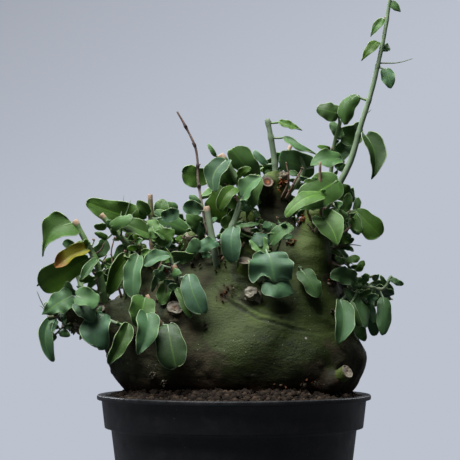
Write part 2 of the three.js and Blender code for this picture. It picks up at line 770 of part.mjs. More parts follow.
function backShoot(plan, random) {
  const foot = vec(plan.foot);
  const end = vec(plan.end);
  const bow = new THREE.Vector3(random() * 8 - 4, 3 + random() * 4, random() * 4 - 2);
  const middle = foot.clone().lerp(end, 0.5).add(bow);
  const stem = [foot, middle, end].map((point) => point.toArray());
  const curve = new THREE.CatmullRomCurve3([foot, middle, end], false, "centripetal");
  const away = new THREE.Vector3(end.x - foot.x, end.y - foot.y, 0).setLength(AWAY_SHARE);
  const leaves = [];
  for (let i = 0; i < plan.leaves; i += 1) {
    const share = 0.4 + 0.6 * (i + 0.5) / plan.leaves;
    const node = curve.getPointAt(Math.min(share, 1));
    const heading = i * LEAF_TURN + random() * 0.8;
    const out = new THREE.Vector3(Math.cos(heading), Math.sin(heading), 0.1 - 0.9 * random());
    out.add(away);
    out.normalize();
    const length = 17 + 14 * random();
    const base = node.clone().addScaledVector(out, 4 + 3 * random());
    const tip = base.clone().addScaledVector(out, length);
    const width = length * (0.5 + 0.2 * random());
    leaves.push([...base.toArray(), ...tip.toArray(), width, 0]);
  }
  return { stem, radii: BACK_RADII, leaves, outward: true };
}

// Turning leaves clear of one another

// Small shifts in depth, tilt and roll, the smallest first
const MOVES = [];
for (const shift of [0, -3, 3, -6, 6, -9, 9, -13, 13, -18, 18]) {
  for (const tilt of [0, -5, 5, -10, 10]) {
    for (const roll of [0, 20, -20, 40, -40]) {
      MOVES.push([shift, tilt, roll, Math.abs(shift) / 3 + Math.abs(tilt) / 5 + Math.abs(roll) / 20]);
    }
  }
}
MOVES.sort((a, b) => a[3] - b[3]);

const FIELD_CELL = 6;
const field = new Map();

function fieldKey(x, y, z) {
  return `${Math.floor(x / FIELD_CELL)},${Math.floor(y / FIELD_CELL)},${Math.floor(z / FIELD_CELL)}`;
}

function mark(point, radius, owner, kind) {
  const key = fieldKey(point.x, point.y, point.z);
  if (!field.has(key)) {
    field.set(key, []);
  }
  field.get(key).push({ point, radius, owner, kind });
}

// The room that a sample has: its distance to the nearest other thing, less what it needs
function room(point, owner, kind) {
  let least = MOST_ROOM;
  for (let i = -1; i <= 1; i += 1) {
    for (let j = -1; j <= 1; j += 1) {
      for (let k = -1; k <= 1; k += 1) {
        const key = fieldKey(point.x + i * FIELD_CELL, point.y + j * FIELD_CELL, point.z + k * FIELD_CELL);
        for (const other of field.get(key) || []) {
          if (other.owner === owner && (kind !== "blade" || other.kind !== "blade")) {
            continue;
          }
          const need = kind === "blade" && other.kind === "blade" ? BLADE_CLEAR : STALK_CLEAR;
          least = Math.min(least, point.distanceTo(other.point) - other.radius - need);
        }
      }
    }
  }
  return least;
}

function bladeSamples(leaf) {
  const samples = [];
  for (let row = 1; row <= SAMPLE_ROWS; row += 1) {
    for (let column = -SAMPLE_COLUMNS; column <= SAMPLE_COLUMNS; column += 1) {
      samples.push(bladePoint(leaf, row / SAMPLE_ROWS, column / SAMPLE_COLUMNS));
    }
  }
  return samples;
}

function stalkSamples(leaf) {
  const count = Math.max(1, Math.round(leaf.root.distanceTo(leaf.base) / 2));
  const samples = [];
  for (let i = 1; i <= count; i += 1) {
    samples.push(leaf.root.clone().lerp(leaf.base, i / count));
  }
  return samples;
}

function nearestOn(path, point) {
  let best = vec(path[0]);
  path.slice(1, -1).forEach((node) => {
    if (vec(node).distanceTo(point) < best.distanceTo(point)) {
      best = vec(node);
    }
  });
  return best;
}

function settleLeaf(row, character, path, owner) {
  const bare = path.filter((node) => skinDistance(node[0], node[1], node[2]) > SKIN_CLEAR);
  let best = null;
  let bestRoom = -Infinity;
  for (const [shift, tilt, roll] of MOVES) {
    const moved = row.slice();
    moved[1] += shift;
    moved[4] += shift + tilt;
    moved[7] += roll;
    const leaf = makeLeaf(moved, character);
    leaf.width = row[6] / Math.cos(ROLL_WIDENING * row[7] * Math.PI / 180);
    leaf.root = nearestOn(bare, leaf.base);
    let least = Infinity;
    for (const point of bladeSamples(leaf)) {
      least = Math.min(least, skinDistance(point.x, point.y, point.z) - SKIN_CLEAR);
      least = least < bestRoom ? least : Math.min(least, room(point, owner, "blade"));
    }
    for (const point of stalkSamples(leaf)) {
      least = Math.min(least, room(point, owner, "stalk"));
    }
    if (least > bestRoom) {
      best = leaf;
      bestRoom = least;
    }
    if (least >= 0) {
      break;
    }
  }
  bladeSamples(best).forEach((point) => mark(point, 0, owner, "blade"));
  stalkSamples(best).forEach((point) => mark(point, STALK_RADIUS, owner, "stalk"));
  return best;
}

// Building the shoots

const LEAF_SEED = 7;
const STEM_STEP = 13;
const stemSides = (radii) => (radii[0] < 2 ? 4 : 5);

function leafCharacter(random, outward, row) {
  const character = {
    shape: 0.7 + 0.35 * random(),
    arch: 0.05 + 0.12 * random(),
    cup: 0.5 * random() - 0.3,
    wave: 0.02 + 0.05 * random(),
    ripples: 1 + Math.floor(2 * random()),
    phase: 6.3 * random(),
    sweep: 0.12 * random() - 0.06,
  };
  if (outward) {
    const middle = new THREE.Vector3(row[0] * 0.4, row[1] - 5, row[2] - 190);
    character.face = middle.normalize().add(new THREE.Vector3(0, 0, 0.9)).normalize();
  }
  return character;
}

// The dry twig that stands on the grey stem
const TWIG_SIDES = 5;
const TWIG_RADII = [1, 0.6];
const DRY_TWIG = [
  [-15, -19.2, 251], [-19.5, -18.5, 268], [-23.2, -18, 291], [-24.6, -18, 311], [-29.5, -17, 323],
  [-37, -15, 337],
];

const skin = skinMesh();
const grownPoints = skin.points.map((point) => {
  return point.clone().addScaledVector(skinNormal(point.x, point.y, point.z), GAP);
});
const bareSkin = solidFrom(skin.points, skin.triangles);
const stubRods = STUBS.map((stub) => rod(stubPath(stub), STUB_SIDES));
const caudexSolid = wasm.Manifold.union([bareSkin, ...stubRods]);
const caudexCutter = wasm.Manifold.union([
  solidFrom(grownPoints, skin.triangles),
  ...STUBS.map((stub) => rod(stubPath(stub), STUB_SIDES, GAP)),
]);

const random = draws(LEAF_SEED);
const backRandom = draws(BACK_SEED);
const plans = { ...SHOOTS };
for (const [name, plan] of Object.entries(BACK_SHOOTS)) {
  plans[name] = backShoot(plan, backRandom);
}

for (const stub of STUBS) {
  pathSamples(stubPath(stub), SAMPLE_STEP).forEach((node) => mark(vec(node), node[3], "caudex", "stem"));
}
const twigPath = smoothPath(DRY_TWIG, TWIG_RADII, STEM_STEP);
pathSamples(twigPath, SAMPLE_STEP).forEach((node) => mark(vec(node), node[3], "dry_twig", "stem"));
for (const [name, plan] of Object.entries(plans)) {
  plan.path = smoothPath(plan.stem, plan.radii, STEM_STEP);
  plan.samples = pathSamples(plan.path, SAMPLE_STEP);
  plan.samples.forEach((node) => mark(vec(node), node[3], name, "stem"));
  for (const [from, to] of plan.needles || []) {
    const needle = [[...from, NEEDLE_FOOT], [...to, NEEDLE_POINT]];
    pathSamples(needle, SAMPLE_STEP).forEach((node) => mark(vec(node), node[3], name, "stem"));
  }
}

function shootSolid(name, plan) {
  const parts = [rod(plan.path, stemSides(plan.radii))];
  for (const [from, to] of plan.needles || []) {
    parts.push(rod([[...from, NEEDLE_FOOT], [...to, NEEDLE_POINT]], NEEDLE_SIDES));
  }
  for (const row of plan.leaves) {
    const leaf = settleLeaf(row, leafCharacter(random, plan.outward, row), plan.samples, name);
    parts.push(leafSolid(leaf));
  }
  return wasm.Manifold.union(parts).subtract(caudexCutter);
}

// The pot is turned from one closed profile, and its drain holes are cut
function potSolid() {
  const profile = [
    [0, 0], [FOOT_RADIUS - FOOT_BEVEL, 0], [FOOT_RADIUS, FOOT_BEVEL],
    [WALL_TOP_RADIUS, POT_HEIGHT - COLLAR_HEIGHT],
    [COLLAR_FOOT_RADIUS, POT_HEIGHT - COLLAR_HEIGHT],
    [COLLAR_TOP_RADIUS, POT_HEIGHT - LIP_HEIGHT],
    [RIM_RADIUS, POT_HEIGHT - LIP_HEIGHT], [RIM_RADIUS, POT_HEIGHT - LIP_BEVEL],
    [RIM_RADIUS - LIP_BEVEL, POT_HEIGHT], [INNER_TOP, POT_HEIGHT],
    [INNER_COLLAR, POT_HEIGHT - COLLAR_HEIGHT + COLLAR_SLANT],
    [WALL_TOP_RADIUS - WALL, POT_HEIGHT - COLLAR_HEIGHT - COLLAR_SLANT],
    [FOOT_RADIUS - WALL, FLOOR], [0, FLOOR],
  ].map(([radius, height]) => new THREE.Vector2(radius, height));
  const lathe = new THREE.LatheGeometry(profile, POT_SIDES).rotateX(Math.PI / 2);
  let pot = solidFromGeometry(lathe);
  for (let i = 0; i < DRAIN_HOLES; i += 1) {
    const turn = (i + 0.5) * 2 * Math.PI / DRAIN_HOLES;
    const [x, y] = [DRAIN_CIRCLE * Math.cos(turn), DRAIN_CIRCLE * Math.sin(turn)];
    pot = pot.subtract(rod([[x, y, -2, DRAIN_RADIUS], [x, y, FLOOR + 2, DRAIN_RADIUS]], DRAIN_SIDES));
  }
  return pot;
}

// The soil follows the inside of the pot, and its top is a low mound of grains
function soilSolid() {
  const grains = draws(SOIL_SEED);
  const sides = [
    [0, FLOOR + GAP], [FOOT_RADIUS - WALL - GAP, FLOOR + GAP],
    [WALL_TOP_RADIUS - WALL - GAP, POT_HEIGHT - COLLAR_HEIGHT - COLLAR_SLANT],
    [INNER_COLLAR - GAP, POT_HEIGHT - COLLAR_HEIGHT + COLLAR_SLANT],
    [INNER_TOP - 1.5 * GAP, SOIL_EDGE_LEVEL],
  ];
  const rings = SOIL_RINGS.map((radius) => {
    const rise = Math.sin(Math.PI / 2 * Math.min((INNER_TOP - radius) / SOIL_SLOPE, 1));
    return [radius, SOIL_EDGE_LEVEL + (SOIL_CROWN_LEVEL - SOIL_EDGE_LEVEL) * rise];
  });
  rings.push([0, SOIL_CROWN_LEVEL]);
  const profile = [...sides, ...rings].map(([radius, height]) => new THREE.Vector2(radius, height));
  const lathe = new THREE.LatheGeometry(profile, POT_SIDES).rotateX(Math.PI / 2);
  lathe.deleteAttribute("normal");
  lathe.deleteAttribute("uv");
  const mound = mergeVertices(lathe, 1e-4);
  const place = mound.attributes.position;
  for (let i = 0; i < place.count; i += 1) {
    const radius = Math.hypot(place.getX(i), place.getY(i));
    if (place.getZ(i) > SOIL_EDGE_LEVEL + 0.1 && radius > 5) {
      place.setZ(i, place.getZ(i) + SOIL_GRAIN * (2 * grains() - 1));
      const slide = 1 + SOIL_SLIDE * (grains() - 0.5);
      place.setX(i, place.getX(i) * slide);
      place.setY(i, place.getY(i) * slide);
    }
  }
  return solidFromGeometry(mound).subtract(caudexCutter);
}

// Colours
const MATERIALS = {
  pot: new THREE.MeshStandardMaterial({ color: 0x17181b, roughness: 0.55, metalness: 0 }),
  soil: new THREE.MeshStandardMaterial({ color: 0x4a3a2e, roughness: 0.95, metalness: 0 }),
  caudex: new THREE.MeshStandardMaterial({ color: 0x4d6138, roughness: 0.6, metalness: 0 }),
  leaf: new THREE.MeshStandardMaterial({ color: 0x3f6b4c, roughness: 0.55, metalness: 0 }),
  dry: new THREE.MeshStandardMaterial({ color: 0x5d4436, roughness: 0.85, metalness: 0 }),
};

const plant = new THREE.Group();

function addPiece(name, solid, material) {
  const mesh = new THREE.Mesh(geometryFrom(solid), material);
  mesh.name = name;
  plant.add(mesh);
}

addPiece("pot", potSolid(), MATERIALS.pot);
addPiece("soil", soilSolid(), MATERIALS.soil);
addPiece("caudex", caudexSolid, MATERIALS.caudex);
for (const [name, plan] of Object.entries(plans)) {
  addPiece(`shoot_${name}`, shootSolid(name, plan), MATERIALS.leaf);
}
const grey = plans.grey_stem;
const greyCutter = rod(grey.path, stemSides(grey.radii), GAP);
addPiece("dry_twig", rod(twigPath, TWIG_SIDES).subtract(greyCutter).subtract(caudexCutter), MATERIALS.dry);

export default plant;
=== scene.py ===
import math
from functools import partial

import bmesh
import bpy
import numpy as np
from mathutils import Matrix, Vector
from numpy.linalg import norm


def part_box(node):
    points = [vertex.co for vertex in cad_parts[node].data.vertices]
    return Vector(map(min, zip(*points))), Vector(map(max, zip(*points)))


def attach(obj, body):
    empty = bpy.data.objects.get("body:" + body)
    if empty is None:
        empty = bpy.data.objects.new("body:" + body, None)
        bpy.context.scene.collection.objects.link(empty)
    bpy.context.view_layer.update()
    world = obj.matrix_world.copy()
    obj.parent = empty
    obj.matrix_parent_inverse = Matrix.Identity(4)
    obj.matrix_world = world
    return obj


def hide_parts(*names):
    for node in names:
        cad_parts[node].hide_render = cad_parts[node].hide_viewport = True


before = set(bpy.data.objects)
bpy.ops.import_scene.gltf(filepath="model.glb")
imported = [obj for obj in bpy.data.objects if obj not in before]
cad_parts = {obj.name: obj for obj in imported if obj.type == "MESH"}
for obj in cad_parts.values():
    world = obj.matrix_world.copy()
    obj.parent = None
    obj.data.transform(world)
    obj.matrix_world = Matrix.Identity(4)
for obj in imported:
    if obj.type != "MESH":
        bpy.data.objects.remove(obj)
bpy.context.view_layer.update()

bl_info = {
    "name": "Potted Adenia spinosa",
    "version": (1, 0, 0),
    "blender": (4, 5, 0),
    "location": "3D View > Sidebar > Adenia",
    "description": "Builds the pot, grit, caudex and leafy shoots round the packed solids",
    "category": "Object",
}

# All shapes are worked out in millimetres, with the pot's underside at the origin, +Z up and
# -Y to the front. METRE turns them into the scene's units.
METRE = 0.001

# Clearances that the leaves of the solids were turned clear by
BLADE_CLEAR = 2.5
STALK_CLEAR = 1.3
SKIN_CLEAR = 1.2
SAMPLE_ROWS = 9
SAMPLE_COLUMNS = 3
SAMPLE_STEP = 2.5
FIELD_CELL = 6
STEM_STEP = 13
NEAR_LEAF = 60

STALK_RADIUS = 0.75
THIN_EDGE = 0.35
VEIN_DEPTH = 0.16
NEEDLE_FOOT = 0.55
NEEDLE_POINT = 0.2
OUTLINE_POWER = 2.4
ROLL_WIDENING = 0.7
LEAF_SEED = 7
BACK_SEED = 41
GRIT_SEED = 77
AWAY_SHARE = 0.8
LEAF_TURN = 2.4

# Caudex: rounded cones and ellipsoids that flow into one another
BODY = ((2, 2, 175), (84.5, 56, 46))
SWELLINGS = (((22, 4, 216), (38, 33, 35)), ((-40, 2, 204), (37, 36, 25)))
LIMBS = {
    "left_arm": ((-66, 0, 194, 20), (-90, -5, 200, 12.5), (-109, -7, 207, 8.5)),
    "left_riser": ((-50, -2, 214, 14), (-58, 0, 234, 9.5), (-62, -2, 243, 7.5)),
    "left_back_riser": ((-30, 16, 214, 14), (-42, 20, 240, 9)),
    "cut_branch": ((-20, 0, 222, 12), (-25, -4, 244, 8.2), (-26, -5, 253, 7)),
    "middle_arm": ((-4, -12, 222, 15), (2, -12, 246, 11.5), (8, -7, 266, 8)),
    "rear_column": ((27, 10, 236, 16), (27, 13, 266, 11.5), (27, 12, 289, 9.4)),
    "right_column": ((50, -6, 203, 20), (48.5, -6, 242, 14.5), (53, -5, 268, 7)),
    "right_arm": ((62, 10, 202, 16), (73, 14, 222, 8)),
    "back_arm": ((-6, 34, 206, 15), (-12, 46, 226, 8.5)),
    "back_right_arm": ((40, 30, 212, 14), (50, 40, 236, 8)),
}
BODY_BLEND = 26
LIMB_BLEND = 13
BEND_BLEND = 4
LUMP_HEIGHT = 0.9

# Cut stubs of old limbs: foot, cut end, radius at each
STUBS = (
    ((60, -34, 159), (73, -47, 169), 5.8, 4.4),
    ((6, -24, 226), (7, -31, 240), 7, 4.6),
    ((58, -8, 222), (66, -12, 238), 6, 4.2),
    ((-40, -30, 199), (-38, -43, 208), 8, 5.4),
    ((20, 4, 286), (22, -3, 294), 5, 4),
    ((31, 10, 285), (33, 6, 297), 4.4, 3.4),
    ((4, -16, 252), (8, -22, 261), 6, 4),
    ((-26, -6, 245), (-27, -11, 257), 6.4, 4.8),
    ((2, -6, 252), (-3, -1, 273), 4.4, 3),
    ((12, -30, 212), (11, -39, 220), 6, 4.4),
    ((-84, -10, 200), (-88, -19, 208), 5.4, 3.8),
    ((-70, 18, 204), (-76, 27, 214), 5.4, 3.8),
    ((20, 40, 208), (22, 52, 218), 6, 4.2),
    ((66, 22, 196), (76, 32, 206), 5.4, 3.8),
    ((-50, 34, 200), (-56, 44, 210), 5.4, 3.8),
)
STUB_MIDDLE = 0.55

def shoot(tone, woody, cut, radii, stem, *leaves, **more):
    plan = dict(needles=(), young=4, slim=1, outward=False, special={}, extra=(), twigs=())
    plan.update(more, tone=tone, woody=woody, cut=cut, radii=radii, stem=stem, leaves=leaves)
    return plan


# Shoots of the front: tone of the leaves from fresh green (0) to blue-green (1), how woody the
# stem is, whether it ends in a cut, its radius at the foot and the end, the points that it
# passes through, and each leaf's base, tip, width and roll. "special" gives leaves a shape of
# their own, by number. The solids leave out "extra", small leaves with tone and painted light
# and shade, and "twigs", side twigs by points, number of young leaves and how woody.
SHOOTS = {
    "left_tip": shoot(
        0.3, 0.1, True, (2.5, 1.8), ((-84, -8, 205), (-86, -12, 222), (-90, -14, 239),
        (-96, -14, 251), (-104, -13, 266)),
        (-105.5, -13, 264, -126, -16, 245, 19, 25), (-95, -18, 247, -116, -26, 235, 10, 25),
        (-95, -10, 241, -127, -6, 222, 17, -10), (-104, -8, 247, -112, -6, 252, 6, 0),
        (-93, -9, 243, -84, -3, 254, 9, -15), (-89, -20, 240, -99, -30, 228, 6, 35),
        (-88, -18, 218, -102, -24, 223, 5, 20),
        young=7, special={0: dict(fold=0.4, hang=0.1, wave=0.08, egg=0.42, bend=0.17, slim=0.82,
        point=0.6, shift=-0.08, heart=0, square=0.4, tone=0.2, light=-0.35), 1: dict(fold=0.6,
        wave=0.12, yellow=1, tone=0.1), 2: dict(fold=0.1, egg=-0.25, point=0, wave=0.02,
        tone=0.02)}, twigs=((((-84, -6, 210), (-80, -6, 222), (-83, -6, 232)), 3, 0.4),
        (((-89, -14, 239), (-93, -16, 245), (-91, -16, 253)), 2, 0.3))),
    "left_crown": shoot(
        0.35, 0.2, True, (2.4, 1.8), ((-61, -3, 238), (-65, -6, 246), (-76, -8, 257),
        (-87, -8, 270)),
        (-78, -9, 260, -83, -12, 266, 5, 0), (-83, -5, 254, -91, -2, 258, 4, 0),
        (-68, -14, 243, -82, -20, 218, 12, -20), (-62, -20, 243, -65, -32, 216, 12, 10),
        (-72, -4, 250, -74, 2, 229, 10, -30), (-80, -12, 262, -66, -18, 268, 8, 20),
        young=9, needles=(((-76, -8, 257), (-68, -4, 278)), ((-76, -8, 257), (-72, 0, 284)),
        ((-78, -8, 260), (-64, -8, 272))), special={2: dict(fold=0.35, egg=0.2, wave=0.04,
        tone=0.05, light=-0.4), 3: dict(fold=0.5, egg=-0.1, wave=0.08, tone=0.9)},
        twigs=((((-76, -12, 219), (-78, -14, 232), (-80, -15, 245), (-78, -15, 254)), 0, 1),
        (((-70, -14, 214), (-72, -16, 226), (-70, -17, 236), (-71, -17, 245)), 4, 0.4),
        (((-85, -12, 214), (-89, -14, 224), (-91, -15, 232)), 3, 0.8))),
    "left_front": shoot(
        0.75, 0.2, False, (1.5, 1.1), ((-66, -14, 196), (-74, -26, 198), (-89, -25, 205),
        (-104, -20, 214)),
        (-105, -20, 217, -124, -24, 206, 14, 20), (-102, -16, 217, -87, -15, 214, 14, 35),
        (-102, -22, 213, -91, -30, 201, 12, 20), (-84, -27, 205, -89, -39, 184, 19, 5),
        (-105, -17, 217, -109, -14, 226, 7, 0), (-68, -26, 199, -81, -34, 174, 10, -15),
        special={0: dict(fold=0.2, point=0.8, tone=0.75, light=0.25), 3: dict(fold=0.3, egg=-0.2,
        point=0, tone=0.95, light=-0.05), 5: dict(fold=0.6, wave=0.14, tone=0.3, light=-0.6)},
        twigs=((((-88, -20, 199), (-96, -24, 206), (-101, -24, 214)), 3, 0.1),)),
    "left_end": shoot(
        0.6, 0.5, False, (1.7, 1.2), ((-104, -8, 206), (-114, -12, 204), (-121, -13, 203)),
        (-119, -11, 203, -118, -18, 174, 11, 10), (-116, -14, 200, -118, -20, 193, 3, 0),
        (-112, -15, 206, -110, -22, 199, 4, 0),
        young=6, needles=(((-120, -12.5, 203.5), (-129, -13, 219)),
        ((-120, -12.5, 203), (-127, -9, 211))), special={0: dict(fold=0.8, bend=0.14, slim=0.85,
        wave=0.04, tone=0.8, light=-0.2)}, twigs=((((-106, -14, 199), (-112, -16, 196),
        (-117, -16, 191)), 4, 0.2), (((-101, -12, 202), (-110, -12, 208), (-120, -12, 212)), 2,
        0.5))),
    "front_twig": shoot(
        0.7, 0.75, True, (1.7, 1.1), ((-42, -34, 190), (-45, -45, 196), (-50, -48, 205),
        (-56, -47, 218)),
        (-57, -48, 216, -62, -56, 198, 16, -10), (-56, -51, 206, -61, -64, 181, 14, 8),
        (-42.5, -52, 199, -37, -66, 173, 19, 5),
        young=5, special={0: dict(fold=0.35, egg=0.15, wave=0.09, tone=0.25, light=-0.2),
        1: dict(fold=0.55, wave=0.12, tone=0.7, light=-0.1), 2: dict(fold=0.3, egg=-0.12, wave=0.04,
        point=0, tone=0.7, light=-0.85)}),
    "crown_stub": shoot(
        0.25, 0.5, True, (2.2, 1.6), ((-52, 0, 228), (-53, 0, 240), (-54, -1, 256), (-55, -2, 283)),
        (-60, -6, 265, -97, -12, 278, 15, -25), (-50, -12, 256, -74, -18, 266, 11, 30),
        (-52, -9, 264, -46, -18, 253, 7, 10), (-53, 7, 270, -30, 10, 259, 11, 30),
        (-50, -8, 250, -40, -22, 240, 10, -10), (-56, 4, 262, -72, 12, 254, 11, 10),
        young=9, special={0: dict(fold=0.3, egg=0.3, wave=0.09, rib=0.9, slim=1.05, square=0.3,
        tone=0.02, light=0.2)}, extra=(((-50, -16, 252, -39, -20, 259, 11, 0), 0.05, 0.3),
        ((-54, -14, 266, -52, -20, 254, 8, 0), 0.1, 0.6),
        ((-44, -10, 262, -45, -14, 246, 9, 10), 0.9, -0.2),
        ((-47, -10, 268, -36, -12, 272, 9, 0), 0.9, 0),
        ((-57, -4, 270, -63, -6, 279, 8, 0), 0.2, -0.3)), twigs=((((-62, -16, 224), (-63, -18, 235),
        (-60, -18, 245), (-61, -17, 253)), 5, 0.2), (((-55, -14, 239), (-60, -16, 247),
        (-66, -16, 251)), 3, 0.3), (((-47, -14, 220), (-49, -18, 233), (-45, -19, 243)), 0, 1))),
    "crown_stub_back": shoot(
        0.4, 0.35, True, (2.2, 1.6), ((-42, 18, 236), (-45, 12, 250), (-47, 8, 264), (-49, 6, 279)),
        (-43, 4, 264, -33, -2, 268, 9, -10), (-50, 12, 271, -37, 17, 276, 8, 10),
        (-41, 6, 260, -22, 2, 262, 10, 30),
        young=7, slim=0.85, extra=(((-49, 4, 266, -47, 6, 280, 10, 0), 0.3, -0.3),),
        twigs=((((-38, -4, 239), (-37, -6, 248), (-33, -8, 254)), 4, 0.4), (((-49, 0, 239),
        (-45, 0, 249), (-47, -2, 258)), 3, 0.6))),
    "grey_stem": shoot(
        0.8, 0.25, True, (2.8, 2), ((-9, -10, 226), (-10, -18, 233), (-12, -22, 243),
        (-15, -22, 259), (-18, -21, 275)),
        (-22, -22, 272, -33, -26, 275, 9, 10), (-22, -18, 277, -29, -15, 282, 5, 0),
        (-11, -26, 252, -24, -34, 246, 9, 20),
        young=6, extra=(((-21, -17, 264, -31, -18, 270, 9, 0), 0.3, -0.1),
        ((-19, -16, 257, -29, -16, 263, 9, 0), 0.6, -0.4)), twigs=((((-7, -20, 239), (-3, -23, 249),
        (-8, -24, 255)), 0, 1),)),
    "shoulder": shoot(
        0.75, 0.3, True, (2.6, 1.9), ((-33, -26, 212), (-34, -36, 221), (-37, -39, 230),
        (-39, -39, 237)),
        (-29, -43, 231, -20, -54, 207, 14, 12), (-37, -43, 222, -28, -42, 204, 7, -30),
        (-46, -36, 237, -53, -38, 220, 4, 0), (-42, -41, 243, -58, -46, 237, 9, 30),
        (-40, -38, 243, -26, -37, 243, 8, -25),
        young=7, special={0: dict(fold=-0.1, egg=-0.1, wave=0.02, point=0, tone=1, light=-0.25),
        1: dict(fold=0.3, wave=0.04, slim=0.85, tone=0.2, light=-0.5), 3: dict(fold=0.3, wave=0.12,
        tone=0.95), 4: dict(fold=0.5, wave=0.12, tone=0.3)},
        extra=(((-40, -34, 226, -47, -40, 212, 9, 10), 0.2, 0.2),
        ((-30, -36, 244, -24, -38, 254, 8, 0), 0.8, 0.2)), twigs=((((-42, -36, 214),
        (-44, -39, 224), (-41, -40, 232)), 3, 0.4), (((-50, -34, 214), (-49, -36, 225),
        (-51, -36, 233)), 1, 0.9))),
    "top_left": shoot(
        0.3, 0.15, True, (3, 2.2), ((6, -4, 256), (10, -4, 270), (5, -6, 288), (-3, -7, 300),
        (-9, -8, 309)),
        (-5, -12, 305, -13, -20, 285, 13, 20), (-12, -8, 308, -17, -8, 316, 3, 0),
        (-16, -4, 294, -34, 0, 297, 14, -10), (14, -4, 293, -1.5, -12, 312, 15, -15),
        (3, -12, 295, 11, -16, 300, 5, 0), (-5, -3, 288, -12, 0, 265, 17, -10),
        (8, 2, 284, 18, 6, 302, 12, 20), (10, 4, 272, -6, 12, 264, 12, 0),
        special={0: dict(fold=0.5, bend=0.2, egg=0.2, tone=1), 2: dict(fold=0, egg=-0.1, wave=0.02,
        tone=0.1, light=0.1), 3: dict(fold=-0.35, egg=-0.12, wave=0.01, point=0, tone=0.3,
        light=0.2), 5: dict(fold=0, egg=-0.2, wave=0.02, tone=0, light=-0.4)},
        extra=(((2, -8, 276, -8, -12, 283, 9, 0), 0.2, 0.2),
        ((-1, -5, 289, -8, -6, 301, 12, 0), 0.2, -0.3),
        ((5, -6, 272, -8, -7, 262, 12, 0), 0.2, -0.5)), twigs=((((4, -12, 275), (-1, -14, 285),
        (-5, -14, 289)), 1, 0.9),)),
    "pale_stem": shoot(
        0.65, 0.05, True, (2.3, 1.8), ((-2, -16, 244), (-4, -23, 254), (1, -23, 267), (5, -22, 279),
        (9, -21, 287)),
        (1, -22, 287, -10, -28, 273, 9, 15), (6, -24, 281, 17, -27, 294, 14, 20),
        (15, -22, 295, 9, -32, 268, 10, -20), (0, -27, 261, -1, -38, 242, 13, 10),
        (3, -26, 262, 16, -28, 264, 3, 30),
        young=8, special={0: dict(fold=0.5, wave=0.05, tone=0.05), 1: dict(fold=0.3, wave=0.07,
        waves=2, tone=1, light=0.5), 2: dict(fold=0.4, egg=0.3, wave=0.09, point=0.6, tone=0.1,
        light=0.5), 3: dict(fold=0.15, egg=-0.12, hang=0.32, tone=0.95)},
        extra=(((14, -26, 254, 20, -34, 243, 11, 10), 0.2, 0.8),), twigs=((((4, -20, 247),
        (8, -22, 254), (13, -22, 259)), 3, 0.9), (((16, -20, 249), (18, -22, 258), (16, -22, 267)),
        4, 0.3))),
    "column_stem": shoot(
        0.8, 0.1, True, (2.8, 2.2), ((28, 12, 284), (27, 12, 304), (24, 11, 323), (22, 11, 333)),
        (30, 9, 331, 44, 6, 326, 5, 30), (33, 9, 321, 53, 5, 310, 5, 35),
        (22, 14, 303, 13, 15, 312, 5, 0),
        young=0, slim=0.78, special={0: dict(point=1.2, fold=0.5, bend=0.1, tone=0.05),
        1: dict(point=1.2, fold=0.5, bend=0.1, tone=0.5)}, twigs=((((33, -4, 282), (36, -6, 294),
        (34, -6, 303)), 0, 1), (((37, 0, 282), (41, -2, 293), (45, -2, 300)), 1, 0.9))),
    "column_back": shoot(
        0.6, 0.3, False, (1.9, 1.4), ((32, 14, 280), (40, 12, 289), (46, 10, 299), (44, 9, 309)),
        (53, 10, 301, 29, 14, 306, 19, 10),
        special={0: dict(fold=-0.15, egg=0, wave=0.03, tone=0.8, light=0.4)}),
    "tall_shoot": shoot(
        0.65, 0.1, False, (2.4, 1.1), ((53, -6, 264), (60, -8, 274), (66, -8, 284), (70, -8, 292),
        (76, -8, 304), (84, -7, 331), (90, -6, 350), (95, -5, 371), (99, -4, 390), (102, -3, 409),
        (104, -3, 419)),
        (86, -8, 321.5, 90, -14, 293.5, 13, 20), (80.5, -6, 347.5, 72.5, -10, 329, 11, 10),
        (99.5, -6, 365, 102.5, -9, 353, 9, 0), (94, -4, 383, 84, -6, 371, 6, 20),
        (98, -3, 398, 90, -4, 387, 5, 10), (103, -3, 409, 109, -4, 403, 5, 10),
        (104, -3, 417, 98, -5, 424, 4, 0), (104, -3, 418, 107, -1, 427, 3, 0),
        young=1, needles=(((95, -5, 369), (117, -2, 371)), ((84.5, -7, 333), (90, -8, 339))),
        special={0: dict(bend=-0.1, fold=0.6, egg=0.3, point=0.4, slim=0.9, heart=0.2, tone=0.5,
        light=-0.75), 1: dict(bend=0.17, fold=-0.3, point=0.6, tone=0.3, light=-0.35),
        3: dict(egg=0.25, point=0.8, fold=0.4, tone=0), 4: dict(egg=0.25, point=0.8, fold=0.6,
        tone=0.3, light=0.5)}),
    "right_upright": shoot(
        0.35, 0.2, False, (1.7, 1.1), ((55, 2, 262), (62, 5, 280), (64, 6, 299), (66, 5, 316),
        (70, 3, 331)),
        (69, 1, 336, 55, -2, 340, 12, 20), (71, 4, 320, 64, 8, 331, 7, 0),
        (70, 6, 321, 85, 12, 329, 12, -10), (70, -1, 306, 51, -9, 303, 13, 35),
        (68, 9, 307, 77, 14, 318, 11, 0), (63, 4, 312, 55, 0, 315, 4, 20),
        (67, 6, 303, 75, 4, 298, 6, 0), (63, 10, 288, 78, 16, 280, 12, 10),
        (60, 8, 284, 46, 14, 290, 12, 20),
        special={0: dict(fold=-0.35, egg=0.1, wave=0.01, tone=0.35, light=-0.7), 2: dict(fold=0.2,
        slim=1.1, tone=0.3, light=-0.4)}),
    "brown_twig": shoot(
        0.2, 0.95, True, (1.5, 0.8), ((56, -12, 260), (57, -17, 272), (56, -20, 286),
        (56, -21, 304)),
        (68, -17, 292, 41, -27, 276, 21, 10), (57, -25, 282, 33, -37, 270, 10, 40),
